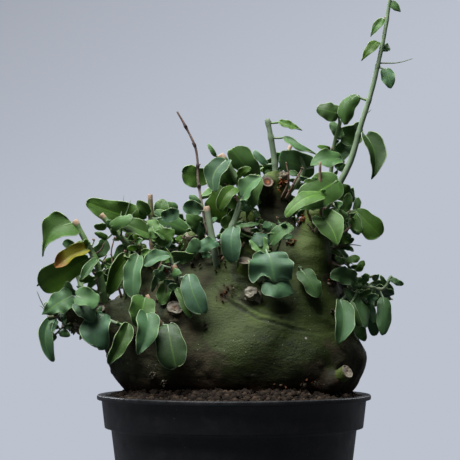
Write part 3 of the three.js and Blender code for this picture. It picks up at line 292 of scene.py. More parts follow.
        young=6, special={0: dict(fold=0.15, egg=0.12, wave=0.06, rib=0.7, tone=0.25, light=-0.2),
        1: dict(fold=0.3, egg=0.2, wave=0.05, rib=0.8, tone=0, light=0.35)},
        twigs=((((51, -18, 265), (48, -18, 274), (50, -17, 285)), 1, 0.9),)),
    "heart_leaf": shoot(
        0.25, 0.5, False, (1.6, 1.2), ((52, -12, 256), (56, -17, 264), (60, -19, 270)),
        (57, -21, 268, 67, -31, 250, 17, 10), (62, -18, 272, 74, -20, 268, 6, 20),
        young=5, special={0: dict(fold=0.25, egg=0.22, heart=0.22, point=0.5, wave=0.02, rib=1,
        tone=0.1, light=0.35)}),
    "right_fan": shoot(
        0.4, 0.3, False, (1.7, 1.2), ((55, 3, 254), (64, 4, 261), (72, 2, 269), (79, 0, 272)),
        (80, -1, 272, 96, -4, 256, 15, 10), (78, -2, 270, 83, -8, 258, 7, -20),
        (80, 1, 273, 82, 4, 281, 5, 0), (75, 0, 265, 83, 0, 257, 4, 0),
        (71, 4, 271, 76, 8, 284, 7, 0),
        young=8, special={0: dict(fold=0.1, egg=-0.15, wave=0.02, point=0, tone=0.1)},
        twigs=((((65, -14, 258), (68, -14, 270), (64, -14, 277)), 4, 0.4), (((71, -6, 256),
        (76, -6, 262), (76, -6, 272)), 3, 0.8))),
    "right_spray": shoot(
        0.2, 0.6, False, (1.6, 1.1), ((52, 4, 240), (60, 8, 245), (67, 8, 248), (73, 7, 250)),
        (73, 6, 251, 79, 4, 254, 4, 0), (70, 8, 247, 79, 9, 246, 4, 20),
        (66, 6, 246, 73, 2, 238, 6, 10), (62, 10, 247, 66, 14, 257, 5, 0),
        (64, 2, 243, 76, -2, 229, 11, -20),
        young=8, needles=(((67, 8, 248), (80, 9, 235)), ((70, 8, 249), (84, 6, 250))),
        twigs=((((63, -10, 233), (69, -8, 239), (74, -8, 237), (79, -6, 231)), 4, 0.4),
        (((66, -8, 227), (73, -8, 229), (76, -8, 224)), 3, 0.6))),
    "right_low": shoot(
        0.6, 0.3, False, (1.7, 1), ((66, 12, 214), (72, 6, 219), (80, 2, 222), (90, 0, 222),
        (98, -2, 221), (103, -3, 229)),
        (69, -8, 214, 68, -20, 187, 13, 10), (73, -6, 221, 86, -16, 197, 14, 15),
        (98, -4, 215, 97, -10, 191, 10, -10), (90, -3, 217, 91, -6, 199, 8, -20),
        (86, 4, 213, 93, 6, 190, 9, -20), (76, -1, 212, 82, -5, 197, 6, -30),
        (80, 3, 224, 64, 2, 231, 11, 20), (83, 0, 224, 89, -2, 230, 4, 0),
        (100, -2, 224, 96, -4, 230, 3, 0), (103, -3, 228, 111, -5, 224, 4, 10),
        young=8, special={0: dict(fold=0.5, wave=0.07, tone=0.75), 1: dict(fold=0.1, egg=-0.2,
        wave=0.02, point=0, tone=0.6)}, extra=(((80, -2, 199, 86, -4, 187, 8, 0), 0.3, -0.3),),
        twigs=((((74, -8, 219), (81, -8, 228), (90, -6, 229)), 4, 0.4), (((73, -4, 214),
        (81, -3, 216), (87, -2, 212)), 3, 0.4))),
    "wide_leaf": shoot(
        0.85, 0.3, False, (1.7, 1.2), ((18, -16, 236), (19, -26, 245), (20, -31, 252)),
        (21, -34, 251, 22, -45, 229, 30, 0), (22, -30, 254, 10, -34, 250, 10, 30),
        (24, -28, 250, 38, -30, 262, 9, 30),
        young=6, special={0: dict(fold=0.12, wave=0.08, waves=1.6, point=0, tone=0.9, egg=0,
        shift=-0.15, lobes=((0.16, 1, -0.08, 0.07),), heart=0.05, hang=0.12, square=0.45, drop=0.3,
        slim=0.97, twist=0.15, light=-0.25,
        points=((0.95, 0.2, 0.25), (0.05, 0.1, 0.14), (-0.85, 0.06, 0.25), (0.5, -0.06, 0.2))),
        2: dict(fold=0.2, wave=0.03, twist=0, tone=0.5, light=0.2)}, twigs=((((28, -24, 249),
        (31, -25, 258), (28, -24, 267)), 4, 0.3),)),
    "cup_leaf": shoot(
        0.8, 0.3, False, (1.5, 1.1), ((16, -24, 226), (17, -34, 228), (19, -38, 229)),
        (20, -40, 228, 38, -40, 219, 12, 35),
        young=2, special={0: dict(fold=0.1, bend=0.04, egg=0.25, point=0.8, wave=0.03, slim=1.45,
        tone=0.9, light=0.1)}),
    "oval_leaf": shoot(
        0.5, 0.3, False, (1.4, 1), ((46, -14, 232), (44, -22, 235), (43, -25, 235)),
        (44, -27, 233, 54, -34, 216, 12, 5),
        young=2, special={0: dict(fold=0.15, egg=0, wave=0.02, point=0, tone=0.5,
        lobes=((0.5, -1, -0.1, 0.05),))}),
}

# Shoots of the back and the sides: foot, end, how many leaves and young leaves, and side twigs
BACK_SHOOTS = {
    "back_left_tip": ((-92, 2, 204), (-106, 18, 236), 5, 4, ()),
    "back_left": (
        (-64, 24, 206), (-78, 46, 240), 6, 9, ((((-66, 10, 226), (-68, 8, 240), (-66, 6, 252)), 8,
        0.3), (((-84, 2, 212), (-82, 2, 226), (-86, 2, 238)), 6, 0.4))),
    "back_crown": (
        (-42, 22, 236), (-50, 42, 276), 6, 9, ((((-44, 10, 240), (-46, 8, 252), (-42, 6, 262)), 8,
        0.3), (((-30, 6, 242), (-28, 4, 253), (-24, 2, 261)), 7, 0.5))),
    "back_middle": ((-12, 46, 222), (-20, 60, 256), 6, 4, ()),
    "back_ridge": (
        (10, 24, 242), (4, 40, 284), 5, 9, ((((10, 14, 246), (12, 12, 258), (15, 10, 270)), 8,
        0.3),)),
    "back_column": (
        (28, 16, 282), (38, 36, 316), 5, 8, ((((24, 14, 262), (18, 16, 270), (15, 14, 280),
        (14, 12, 288)), 8, 0.3), (((38, 16, 262), (43, 15, 270), (45, 13, 280)), 8, 0.4))),
    "back_right_arm": (
        (50, 40, 230), (58, 56, 264), 6, 4, ((((60, 6, 246), (68, 6, 254), (74, 6, 258)), 8,
        0.4),)),
    "back_right": (
        (70, 20, 218), (86, 44, 222), 6, 4, ((((70, 12, 212), (78, 14, 216), (86, 16, 220)), 6,
        0.4),)),
    "back_right_top": (
        (50, 8, 254), (64, 30, 292), 5, 8, ((((44, 6, 256), (42, 8, 266), (43, 8, 275)), 7, 0.5),)),
    "back_low": ((16, 42, 208), (30, 66, 224), 4, 4, ()),
}
BACK_LOOK = (0.4, 0.25, True)
BACK_RADII = (2, 1.2)

# The dry twig behind the grey stem, and the heights of its knots
DRY_TWIG = (
    (-15, -19.2, 251), (-19.5, -18.5, 268), (-23.2, -18, 291), (-24.6, -18, 311), (-29.5, -17, 323),
    (-37, -15, 337),
)
TWIG_RADII = (1, 0.6)
TWIG_SIDES = 12
TWIG_KNOTS = (258, 274, 288, 301.5, 315, 327)

# Draws, noise and curves

DRAW_FACTOR, DRAW_STEP, DRAW_RANGE = 1664525, 1013904223, 2**32
CELL_FACTORS = (374761393, 668265263, 1440662683)
SEED_FACTOR, MIX_FACTOR, BITS = 974634777, 1274126177, 0xFFFFFFFF
CURVE_SHARES = np.linspace(0, 1, 201)


def draws(seed):
    """A function that gives the next even draw from 0 to 1."""

    def draw():
        nonlocal seed
        seed = (seed * DRAW_FACTOR + DRAW_STEP) % DRAW_RANGE
        return seed / DRAW_RANGE

    return draw


def unit(vector):
    return np.asarray(vector) / norm(vector, axis=-1, keepdims=True)


def noise(points, size, seed=0):
    """Smooth noise from -1 to 1, with features about size millimetres wide."""
    place = points / np.broadcast_to(np.asarray(size, float), (3,))
    cell = np.floor(place).astype(np.int64)
    share = place - cell
    share = share * share * (3 - 2 * share)
    total = np.zeros(len(points))
    for corner in range(8):
        bits = np.array((corner & 1, corner >> 1 & 1, corner >> 2))
        weight = np.where(bits, share, 1 - share).prod(1)
        at = (cell + bits) * CELL_FACTORS
        mixed = (at.sum(1) + seed * SEED_FACTOR) & BITS
        mixed = ((mixed ^ (mixed >> 13)) * MIX_FACTOR) & BITS
        total += weight * (((mixed ^ (mixed >> 16)) & 0xFFFF) / 32767.5 - 1)
    return total


def wobble(path, size, seed):
    """A drift in all three directions along a path."""
    return np.column_stack([noise(path[:, :3], size, seed + k) for k in range(3)])


def smooth_step(value, low, high):
    share = np.clip((value - low) / (high - low), 0, 1)
    return share * share * (3 - 2 * share)


def bump(distance, width):
    return np.exp(-((distance / width) ** 2))


class Curve:
    """A smooth line through points, measured along its length."""

    def __init__(self, points):
        given = np.array(points, float)
        before, after = 2 * given[0] - given[1], 2 * given[-1] - given[-2]
        self.points = np.vstack([before, given, after])
        steps = norm(np.diff(self.raw(CURVE_SHARES), axis=0), axis=1)
        self.lengths = np.concatenate([[0], np.cumsum(steps)])
        self.length = self.lengths[-1]

    def raw(self, share):
        count = len(self.points) - 3
        place = np.atleast_1d(share) * count
        first = np.minimum(place.astype(int), count - 1)
        w = (place - first)[:, None]
        x0, x1, x2, x3 = (self.points[first + k] for k in range(4))
        d0, d1, d2 = (
            (((b - a) ** 2).sum(1) ** 0.25)[:, None] for a, b in ((x0, x1), (x1, x2), (x2, x3))
        )
        t1 = d1 * ((x1 - x0) / d0 - (x2 - x0) / (d0 + d1) + (x2 - x1) / d1)
        t2 = d1 * ((x2 - x1) / d1 - (x3 - x1) / (d1 + d2) + (x3 - x2) / d2)
        square = -3 * x1 + 3 * x2 - 2 * t1 - t2
        cube = 2 * x1 - 2 * x2 + t1 + t2
        return x1 + t1 * w + square * w**2 + cube * w**3

    def at(self, share):
        return self.raw(np.interp(np.atleast_1d(share) * self.length, self.lengths, CURVE_SHARES))

    def path(self, radii, step):
        """Rows of x, y, z and radius, about step apart."""
        share = np.linspace(0, 1, max(2, int(self.length / step + 0.5)) + 1)
        return np.column_stack([self.at(share), radii[0] + (radii[1] - radii[0]) * share])


def path_samples(path, step):
    samples = [path[0]]
    for start, end in zip(path, path[1:]):
        count = math.ceil(norm(end[:3] - start[:3]) / step)
        samples += [start + (end - start) * i / count for i in range(1, count + 1)]
    return np.array(samples)


# Caudex


def smooth_min(a, b, width):
    near = np.maximum(width - np.abs(a - b), 0) / width
    return np.minimum(a, b) - near * near * width / 4


def ellipsoid_distance(points, centre, radii):
    offset = (points - centre) / radii
    scaled = norm(offset, axis=-1)
    slope = norm(offset / radii, axis=-1)
    return scaled * (scaled - 1) / np.maximum(slope, 1e-9)


def cone_distance(points, a, b):
    a, b = np.array(a, float), np.array(b, float)
    along = b[:3] - a[:3]
    offset = points - a[:3]
    share = np.clip(offset @ along / (along @ along), 0, 1)
    radius = a[3] + share * (b[3] - a[3])
    return norm(offset - share[..., None] * along, axis=-1) - radius


def skin_distance(points):
    distance = ellipsoid_distance(points, *BODY)
    for swelling in SWELLINGS:
        distance = smooth_min(distance, ellipsoid_distance(points, *swelling), BODY_BLEND)
    for chain in LIMBS.values():
        limb = cone_distance(points, chain[0], chain[1])
        for a, b in zip(chain[1:], chain[2:]):
            limb = smooth_min(limb, cone_distance(points, a, b), BEND_BLEND)
        distance = smooth_min(distance, limb, LIMB_BLEND)
    x, y, z = points[..., 0], points[..., 1], points[..., 2]
    wide = np.sin(x / 13 + 0.6) * np.sin(z / 10 + y / 17)
    narrow = 0.6 * np.sin(x / 6.5 - z / 8 + 1)
    return distance + LUMP_HEIGHT * (wide + narrow)


def stub_path(stub):
    start, end, foot, cut = stub
    start, end = np.array(start, float), np.array(end, float)
    middle = start + STUB_MIDDLE * (end - start)
    return np.array([[*start, foot], [*middle, (foot + cut) / 2], [*end, cut]])


def collared_distance(points):
    """The skin with a soft collar round the foot of each cut stub."""
    distance = skin_distance(points)
    for stub in STUBS:
        start, middle, _ = stub_path(stub)
        start[3] += STUB_COLLAR
        distance = smooth_min(distance, cone_distance(points, start, middle - (0, 0, 0, 0.4)), 5)
    return distance


def slopes(distance, points):
    step = 0.4 * np.eye(3)
    return unit(np.stack([distance(points + s) - distance(points - s) for s in step], -1))


def on_skin(place, tries):
    """A place moved onto the skin, and the way out of the skin there."""
    for _ in range(tries):
        place = place - slopes(skin_distance, place[None])[0] * skin_distance(place[None])[0]
    return place, slopes(skin_distance, place[None])[0]


def skin_net(distance, low, high, cell):
    """Points and quads on the surface where distance is zero, one point for a grid cell."""
    low = np.array(low, float)
    counts = np.ceil((np.array(high) - low) / cell).astype(int) + 1
    places = [low[a] + cell * np.arange(counts[a]) for a in range(3)]
    rough = distance(np.stack(np.meshgrid(*(p[::4] for p in places), indexing="ij"), -1))
    pick = [np.minimum((np.arange(n) + 2) // 4, size - 1) for n, size in zip(counts, rough.shape)]
    values = rough[np.ix_(*pick)]
    near = np.argwhere(np.abs(values) < 6 * cell)
    values[tuple(near.T)] = distance(low + cell * near)
    cells = tuple(counts - 1)
    sums = np.zeros((math.prod(cells), 3))
    hits = np.zeros(math.prod(cells))
    quads = []
    steps = np.eye(3, dtype=int)
    for axis in range(3):
        step, u, v = steps[axis], steps[axis - 2], steps[axis - 1]
        first = values[tuple(slice(0, n - s) for n, s in zip(counts, step))]
        second = values[tuple(slice(s, n) for n, s in zip(counts, step))]
        edges = np.argwhere((first < 0) != (second < 0))
        start, end = first[tuple(edges.T)], second[tuple(edges.T)]
        point = low + cell * (edges + (start / (start - end))[:, None] * step)
        quad = np.stack(
            [np.ravel_multi_index((edges - back).T, cells) for back in (u + v, v, 0 * v, u)], 1
        )
        for column in quad.T:
            np.add.at(sums, column, point)
            np.add.at(hits, column, 1)
        quads.append(np.where((start < 0)[:, None], quad, quad[:, ::-1]))
    used = np.flatnonzero(hits)
    number = np.zeros(len(hits), int)
    number[used] = np.arange(len(used))
    return sums[used] / hits[used, None], number[np.vstack(quads)]


# Leaves


def blade_form(draw, row, outward):
    form = {
        "shape": 0.7 + 0.35 * draw(),
        "arch": 0.05 + 0.12 * draw(),
        "cup": 0.5 * draw() - 0.3,
        "wave": 0.02 + 0.05 * draw(),
        "ripples": 1 + math.floor(2 * draw()),
        "phase": 6.3 * draw(),
        "sweep": 0.12 * draw() - 0.06,
        "face": np.array((0.0, -1, 0)),
    }
    if outward:
        from_middle = unit((row[0] * 0.4, row[1] - 5, row[2] - 190))
        form["face"] = unit(from_middle + (0, 0, 0.9))
    return form


def make_leaf(row, form):
    base = np.array(row[:3], float)
    axis = np.array(row[3:6], float) - base
    length = norm(axis)
    axis = axis / length
    roll = math.radians(row[7])
    face = unit(form["face"] - axis * (form["face"] @ axis))
    sideways = np.cross(axis, face)
    lift = 1 if sideways[2] >= 0 else -1
    normal = face * math.cos(roll) + sideways * lift * math.sin(roll)
    return {**form, "base": base, "axis": axis, "normal": normal,
            "side": np.cross(axis, normal), "length": length}


def outline(t, shape):
    share = np.abs(2 * t**shape - 1)
    return np.sqrt(np.maximum(1 - share**OUTLINE_POWER, 0))


def blade_point(leaf, t, s):
    """Points of the blade's middle: t from base to tip, s from one margin (-1) to the other."""
    half = leaf["width"] / 2 * outline(t, leaf["shape"])
    turn = 2 * math.pi * leaf["ripples"] * t + leaf["phase"] + 1.4 * s
    wave = leaf["wave"] * leaf["width"] * s * s * np.sin(turn)
    bow = leaf["length"] * 4 * t * (1 - t)
    rise = leaf["arch"] * bow + leaf["cup"] * half * s * s + wave
    along = leaf["length"] * t
    return (
        leaf["base"]
        + leaf["axis"] * along[..., None]
        + leaf["side"] * (half * s + leaf["sweep"] * bow)[..., None]
        + leaf["normal"] * rise[..., None]
    )


def back_shoot(foot, end, leaf_count, young, twigs, draw):
    foot, end = np.array(foot, float), np.array(end, float)
    bow = np.array((draw() * 8 - 4, 3 + draw() * 4, draw() * 4 - 2))
    stem = [foot, foot + 0.5 * (end - foot) + bow, end]
    curve = Curve(stem)
    away = AWAY_SHARE * unit((end - foot) * (1, 1, 0))
    leaves = []
    for i in range(leaf_count):
        node = curve.at(0.4 + 0.6 * (i + 0.5) / leaf_count)[0]
        heading = i * LEAF_TURN + draw() * 0.8
        out = np.array((math.cos(heading), math.sin(heading), 0.1 - 0.9 * draw()))
        out = unit(out + away)
        length = 17 + 14 * draw()
        base = node + out * (4 + 3 * draw())
        width = length * (0.5 + 0.2 * draw())
        leaves.append([*base, *(base + out * length), width, 0])
    more = {"young": young, "twigs": twigs, "outward": True}
    return shoot(*BACK_LOOK, BACK_RADII, stem, *leaves, **more)


class Field:
    """Samples of stems and blades that later leaves are turned clear of."""

    def __init__(self):
        self.rows = np.zeros((0, 6))
        self.owners = []

    def mark(self, points, radii, owner, blade):
        """Keeps x, y, z, radius, the owner's number and whether it is part of a blade."""
        if owner not in self.owners:
            self.owners.append(owner)
        radii = np.broadcast_to(radii, len(points))
        number = np.full(len(points), self.owners.index(owner))
        rows = np.column_stack([points, radii, number, np.full(len(points), blade)])
        self.rows = np.vstack([self.rows, rows])

    def mark_rod(self, path, owner):
        samples = path_samples(path, SAMPLE_STEP)
        self.mark(samples[:, :3], samples[:, 3], owner, False)
        return samples

    def near(self, point):
        return self.rows[(np.abs(self.rows[:, :3] - point) < NEAR_LEAF).all(1)]


def has_room(others, points, owner, blade):
    """Whether all the points are far enough from the samples of other things."""
    low, high = points.min(0) - 2 * FIELD_CELL, points.max(0) + 2 * FIELD_CELL
    counted = others[((others[:, :3] > low) & (others[:, :3] < high)).all(1)]
    both_blades = (counted[:, 5] == 1) & blade
    counted = np.column_stack([counted, both_blades])[(counted[:, 4] != owner) | both_blades]
    need = np.where(counted[:, 6] == 1, BLADE_CLEAR, STALK_CLEAR) + counted[:, 3]
    apart = points[:, None] - counted[None, :, :3]
    i, j = np.nonzero((apart**2).sum(2) < need**2)
    cells = np.floor(points[i] / FIELD_CELL) - np.floor(counted[j, :3] / FIELD_CELL)
    return not (np.abs(cells) <= 1).all(1).any()


# Small shifts in depth, tilt and roll, the smallest first
SHIFTS = (0, -3, 3, -6, 6, -9, 9, -13, 13, -18, 18)
MOVES = [(a, b, c) for a in SHIFTS for b in (0, -5, 5, -10, 10) for c in (0, 20, -20, 40, -40)]
MOVES.sort(key=lambda move: abs(move[0]) / 3 + abs(move[1]) / 5 + abs(move[2]) / 20)


def settle_leaf(row, form, samples, owner, field):
    """Turns a leaf clear of what is there: the first small move that gives it room."""
    bare = samples[skin_distance(samples[:, :3]) > SKIN_CLEAR][:, :3]
    roots = np.vstack([bare[:1], bare[1:-1]])
    t, s = np.meshgrid(
        np.arange(1, SAMPLE_ROWS + 1) / SAMPLE_ROWS,
        np.arange(-SAMPLE_COLUMNS, SAMPLE_COLUMNS + 1) / SAMPLE_COLUMNS,
        indexing="ij",
    )
    others = field.near(np.array(row[:3], float))
    number = field.owners.index(owner)
    for shift, tilt, roll in MOVES:
        moved = list(row)
        moved[1] += shift
        moved[4] += shift + tilt
        moved[7] += roll
        leaf = make_leaf(moved, form)
        leaf["width"] = row[6] / math.cos(math.radians(ROLL_WIDENING * row[7]))
        base = leaf["base"]
        leaf["root"] = roots[np.argmin(norm(roots - base, axis=1))]
        blade = blade_point(leaf, t, s).reshape(-1, 3)
        count = max(1, int(norm(base - leaf["root"]) / 2 + 0.5))
        shares = np.arange(1, count + 1)[:, None] / count
        stalk = leaf["root"] + (base - leaf["root"]) * shares
        if (
            has_room(others, stalk, number, False)
            and has_room(others, blade, number, True)
            and skin_distance(blade).min() >= SKIN_CLEAR
        ):
            break
    field.mark(blade, 0, owner, True)
    field.mark(stalk, STALK_RADIUS, owner, False)
    return leaf


def needle_path(needle):
    start, end = needle
    return np.array([[*start, NEEDLE_FOOT], [*end, NEEDLE_POINT]], float)


def plan_shoots():
    """All the shoots, with each leaf settled where the solids have it."""
    back_draw, leaf_draw = draws(BACK_SEED), draws(LEAF_SEED)
    plans = {name: dict(plan) for name, plan in SHOOTS.items()}
    for name, row in BACK_SHOOTS.items():
        plans[name] = back_shoot(*row, back_draw)
    field = Field()
    for stub in STUBS:
        field.mark_rod(stub_path(stub), "caudex")
    field.mark_rod(Curve(DRY_TWIG).path(TWIG_RADII, STEM_STEP), "dry_twig")
    for name, plan in plans.items():
        plan["curve"] = Curve(plan["stem"])
        plan["samples"] = field.mark_rod(plan["curve"].path(plan["radii"], STEM_STEP), name)
        for needle in plan["needles"]:
            field.mark_rod(needle_path(needle), name)
    for name, plan in plans.items():
        plan["settled"] = []
        for row in plan["leaves"]:
            form = blade_form(leaf_draw, row, plan["outward"])
            plan["settled"].append(settle_leaf(row, form, plan["samples"], name, field))
    return plans


# Mesh building


class Stock:
    """Points, faces and surface values that become one piece."""

    def __init__(self, *values):
        self.points, self.faces, self.finishes = [], [], []
        self.values = {name: [] for name in values}
        self.count = 0

    def add(self, points, faces, finish=0, **values):
        self.faces += [tuple(int(v) + self.count for v in face) for face in faces]
        self.finishes += [finish] * len(faces)
        self.points.append(np.asarray(points, float))
        for name, rows in self.values.items():
            rows.append(np.broadcast_to(np.asarray(values.get(name, 0.0), float), len(points)))
        self.count += len(points)

    def add_rings(self, rings, finish=0, **values):
        """A closed skin over rings of points."""
        self.add(np.vstack(rings), tube_faces(len(rings), len(rings[0])), finish, **values)

    def piece(self, name, materials):
        mesh = bpy.data.meshes.new(name)
        points = np.vstack(self.points)
        mesh.from_pydata((points * METRE).tolist(), [], self.faces)
        mesh.polygons.foreach_set("material_index", self.finishes)
        mesh.polygons.foreach_set("use_smooth", [True] * len(mesh.polygons))
        for value, rows in self.values.items():
            attribute = mesh.attributes.new(value, "FLOAT", "POINT")
            attribute.data.foreach_set("value", np.concatenate(rows))
        for material in materials:
            mesh.materials.append(material)
        mesh.validate()
        mesh.update()
        thing = bpy.data.objects.new(name, mesh)
        bpy.context.scene.collection.objects.link(thing)
        return thing


def tube_faces(rows, sides):
    """Quads between rings of points, with a many-sided face at each end."""
    faces = []
    for row in range(rows - 1):
        for side in range(sides):
            a, b = row * sides + side, row * sides + (side + 1) % sides
            faces.append((a, b, b + sides, a + sides))
    faces.append(tuple(range(sides - 1, -1, -1)))
    faces.append(tuple(range((rows - 1) * sides, rows * sides)))
    return faces


def ring_turns(sides):
    turn = np.arange(sides) * 2 * math.pi / sides
    return np.cos(turn), np.sin(turn)


def flat_ring(radius, z, sides):
    cosines, sines = ring_turns(sides)
    return np.column_stack([radius * cosines, radius * sines, np.full(sides, z)])


def ring_frames(centres):
    """Two directions across a path at each of its points, without twist."""
    ends = np.vstack([centres[:1], centres, centres[-1:]])
    across = np.array((0.31, 0.87, 0.38))
    frames = []
    for i in range(len(centres)):
        along = ends[i + 2] - ends[i]
        length = norm(along)
        along = along / max(length, 1e-6)
        if frames and (length < 1e-6 or along @ frames[-1][2] < 0.2):
            along = frames[-1][2]
        across = unit(across - along * (across @ along))
        frames.append((across, np.cross(along, across), along))
    return frames


def rod_points(path, sides, rough=0.0, seed=0):
    """Rings of points round a path of x, y, z and radius."""
    cosines, sines = ring_turns(sides)
    rings = []
    for row, (across, third, _) in zip(path, ring_frames(path[:, :3])):
        out = np.outer(cosines, across) + np.outer(sines, third)
        ring = row[:3] + out * row[3]
        if rough:
            ring = ring + out * (rough * noise(ring, (2.2, 2.2, 5), seed))[:, None]
        rings.append(ring)
    return np.vstack(rings)


def add_rod(stock, path, sides, finish=1, **values):
    path = np.asarray(path, float)
    stock.add(rod_points(path, sides), tube_faces(len(path), sides), finish, **values)


def shaped_end(path, steps):
    """A path that ends in steps: how far on and how wide, as shares of its last radius."""
    end, radius = path[-1, :3], path[-1, 3]
    along = unit(end - path[-2, :3])
    return [[*(end + along * a * radius), radius * r] for a, r in steps]


def cut_end(path):
    """A path with a cut end: a worn edge and a slightly hollow face."""
    steps = ((0, 1), (0.06, 0.95), (0.07, 0.86), (0, 0.74), (-0.125, 0.45), (-0.125, 0.16))
    return np.vstack([path[:-1], shaped_end(path, steps)])


def heading_out(heading, squash, lean, rise):
    """A way out from a stem at a heading, flatter from front to back by squash."""
    return unit((math.cos(heading), squash * math.sin(heading) + lean, rise))


def pointed_end(path):
    return np.vstack([path, shaped_end(path, ((0.5, 0.8), (0.9, 0.45)))])


# Shoots

SHOOT_SEED = 500
# Sides of thin and thick stems, and the radius at the foot that parts them
STEM_SIDES = (10, 14)
THICK_STEM = 2
STALK_SIDES, BUD_SIDES, TWIGLET_SIDES, SIDE_TWIG_SIDES, NEEDLE_SIDES = 7, 5, 6, 8, 6
TWIGLET_ROWS = 6
FOOT_BUDS = 5
MIDRIB_REACH = 0.62
STEM_ROW = 1.6
SIDE_TWIG_RADII = (0.85, 0.4)
STEM_VALUES = ("across", "along", "under", "tone", "yellow", "cut", "woody", "rib")


def blade_grid(length):
    """Rows from base to tip and columns from margin to margin, both closer at the ends."""
    count, columns = (24, 15) if length > 16 else (16, 11) if length > 8 else (9, 7)
    rows = (1 - np.cos(math.pi * np.linspace(0.04, 0.975, count))) / 2
    return np.meshgrid(rows, np.sin(np.linspace(-1, 1, columns) * math.pi / 2), indexing="ij")


def leaf_look(draw):
    """How one blade folds and bends, on top of the form that the solids have."""
    return {
        "fold": 0.8 * draw() - 0.25, "egg": 0.32 * draw() - 0.14,
        "lean": 0.16 * draw() - 0.08, "point": max(0, 1.5 * draw() - 1.0),
        "waves": 1.2 + 1.5 * draw(), "wave": 0.05 + 0.13 * draw() ** 1.5,
        "phase": 6.3 * draw(), "offset": 3 * draw(), "hang": 0.12 * draw() - 0.02,
        "bend": 0.16 * draw() - 0.08, "heart": 0.12 * draw(),
        "twist": 1.3 * draw() - 0.65, "rib": 0.08 + 0.4 * draw() ** 2,
        "light": 0.0, "square": 0.12, "slim": 1, "drop": 0, "shift": 0, "lobes": (), "points": (),
    }


def blade_middle(leaf, look, t, s):
    """The blade's middle surface with its folds and waves."""
    width, length = leaf["width"], leaf["length"]
    full = outline(t, leaf["shape"])
    spread = look["slim"] + look["egg"] * np.cos(math.pi * t) + look["lean"] * s
    spread -= 0.5 * look["point"] * smooth_step(t, 0.62, 1)
    spread += 0.05 * np.sin(2 * math.pi * 2.1 * t + look["phase"] + 2 * np.sign(s))
    spread *= np.maximum(full, 0.05) ** -look["square"]
    line = blade_point(leaf, t, 0 * s)
    points = line + (blade_point(leaf, t, s) - line) * spread[..., None]
    half = width / 2 * full
    reach = half * np.abs(s)
    turn = 2 * math.pi * look["waves"] * t + look["phase"] + look["offset"] * np.sign(s)
    rise = reach * look["fold"] * (0.35 + 0.65 * np.abs(s))
    rise += reach * look["twist"] * (t - 0.35) * np.sign(s)
    rise += look["wave"] * half * 2 * np.abs(s) ** 2.5 * np.sin(turn)
    rise += 0.02 * half * s * s * np.sin(3.1 * turn)
    rise -= look["hang"] * length * t**2.4
    back = look["heart"] * width * s * s * (1 - smooth_step(t, 0, 0.3))
    back -= 0.07 * length * look["point"] * smooth_step(t, 0.8, 1) * (1 - np.abs(s))
    back -= look["drop"] * length * (1 - t)
    aside = look["bend"] * length * 4 * t * (1 - t) + look["shift"] * width * np.sqrt(t)
    for at, depth, wide in look["points"]:
        near = bump(s * full * spread - at, wide) * smooth_step(t, 0.45, 0.85)
        back -= depth * width * near
    for at, hand, depth, wide in look["lobes"]:
        near = bump(t - at, wide) * (np.sign(s) == hand) * s * s
        aside += depth * width * near * hand
    return (
        points + leaf["normal"] * rise[..., None] - leaf["axis"] * back[..., None]
        + leaf["side"] * aside[..., None]
    )


def add_leaf(stock, leaf, look, tone, yellow=0.0):
    t, s = blade_grid(leaf["length"])
    middle = blade_middle(leaf, look, t, s)
    step = 1e-3
    by_t = blade_middle(leaf, look, t + step, s) - blade_middle(leaf, look, t - step, s)
    by_s = blade_middle(leaf, look, t, s + step) - blade_middle(leaf, look, t, s - step)
    normal = unit(np.cross(by_s, by_t))
    edge_to_edge = (1 - s * s) * np.minimum(1, 6 * np.sin(math.pi * t) + 0.3)
    thick = settings().blade_thickness / METRE
    half = (THIN_EDGE + (thick - THIN_EDGE) * edge_to_edge) / 2
    vein_step = np.abs((t * 5.5 - 1.1 * np.abs(s)) % 1 - 0.5) * 2
    vein = bump(s, 0.1) * 1.4 + 0.35 * smooth_step(vein_step, 0.55, 1) * (1 - np.abs(s))
    groove = VEIN_DEPTH * vein * np.minimum(1, leaf["width"] / 12)
    top = middle + normal * (half - groove)[..., None]
    low = middle - normal * (half + 0.6 * groove)[..., None]
    rings = np.concatenate([top, low[:, ::-1]], axis=1)
    zeros = np.zeros_like(s)
    stock.add_rings(
        rings, across=np.concatenate([s, s[:, ::-1]], 1).ravel(),
        along=np.concatenate([t, t], 1).ravel(),
        under=np.concatenate([zeros, zeros + 1], 1).ravel(),
        # The leaf's painted light and shade is kept in the woody value that the stems use
        tone=tone, yellow=yellow, rib=look["rib"], woody=look["light"],
    )
    # The stalk runs on as the midrib under the blade
    share = np.linspace(0, MIDRIB_REACH, 8)
    spine = blade_middle(leaf, look, share + 0.01, 0 * share)
    spine = spine - leaf["normal"] * np.minimum(share * 4, 1)[:, None] * thick * 0.45
    reach = np.linspace(0, 1, 6)[:-1, None]
    span = spine[0] - leaf["root"]
    length = norm(span)
    sag = np.array((0, 0, -0.05 * min(length, 12)))
    stalk = leaf["root"] + span * reach + sag * 4 * reach * (1 - reach)
    radius = STALK_RADIUS * np.concatenate([
        [1.5, 1.05, 0.95, 0.95, 1.0], np.linspace(0.95, 0.25, len(share)),
    ])
    radius = radius * min(1, 0.55 + 0.03 * leaf["length"])
    path = np.column_stack([np.vstack([stalk, spine]), radius])
    add_rod(stock, path, STALK_SIDES, tone=tone, woody=0.1, along=0.5)


def add_bud(stock, place, out, size, woody, scales=3):
    """A little dry bud with pointed scales."""
    for i in range(scales):
        turn = i * LEAF_TURN
        aside = np.array((math.cos(turn), math.sin(turn), 0.4 * math.sin(3 * turn)))
        lean = unit(out + 0.6 * aside)
        path = [
            [*place, 0.34 * size], [*(place + lean * 0.5 * size), 0.3 * size],
            [*(place + lean * 1.05 * size), 0.06 * size],
        ]
        add_rod(stock, path, BUD_SIDES, woody=woody, tone=0.4)


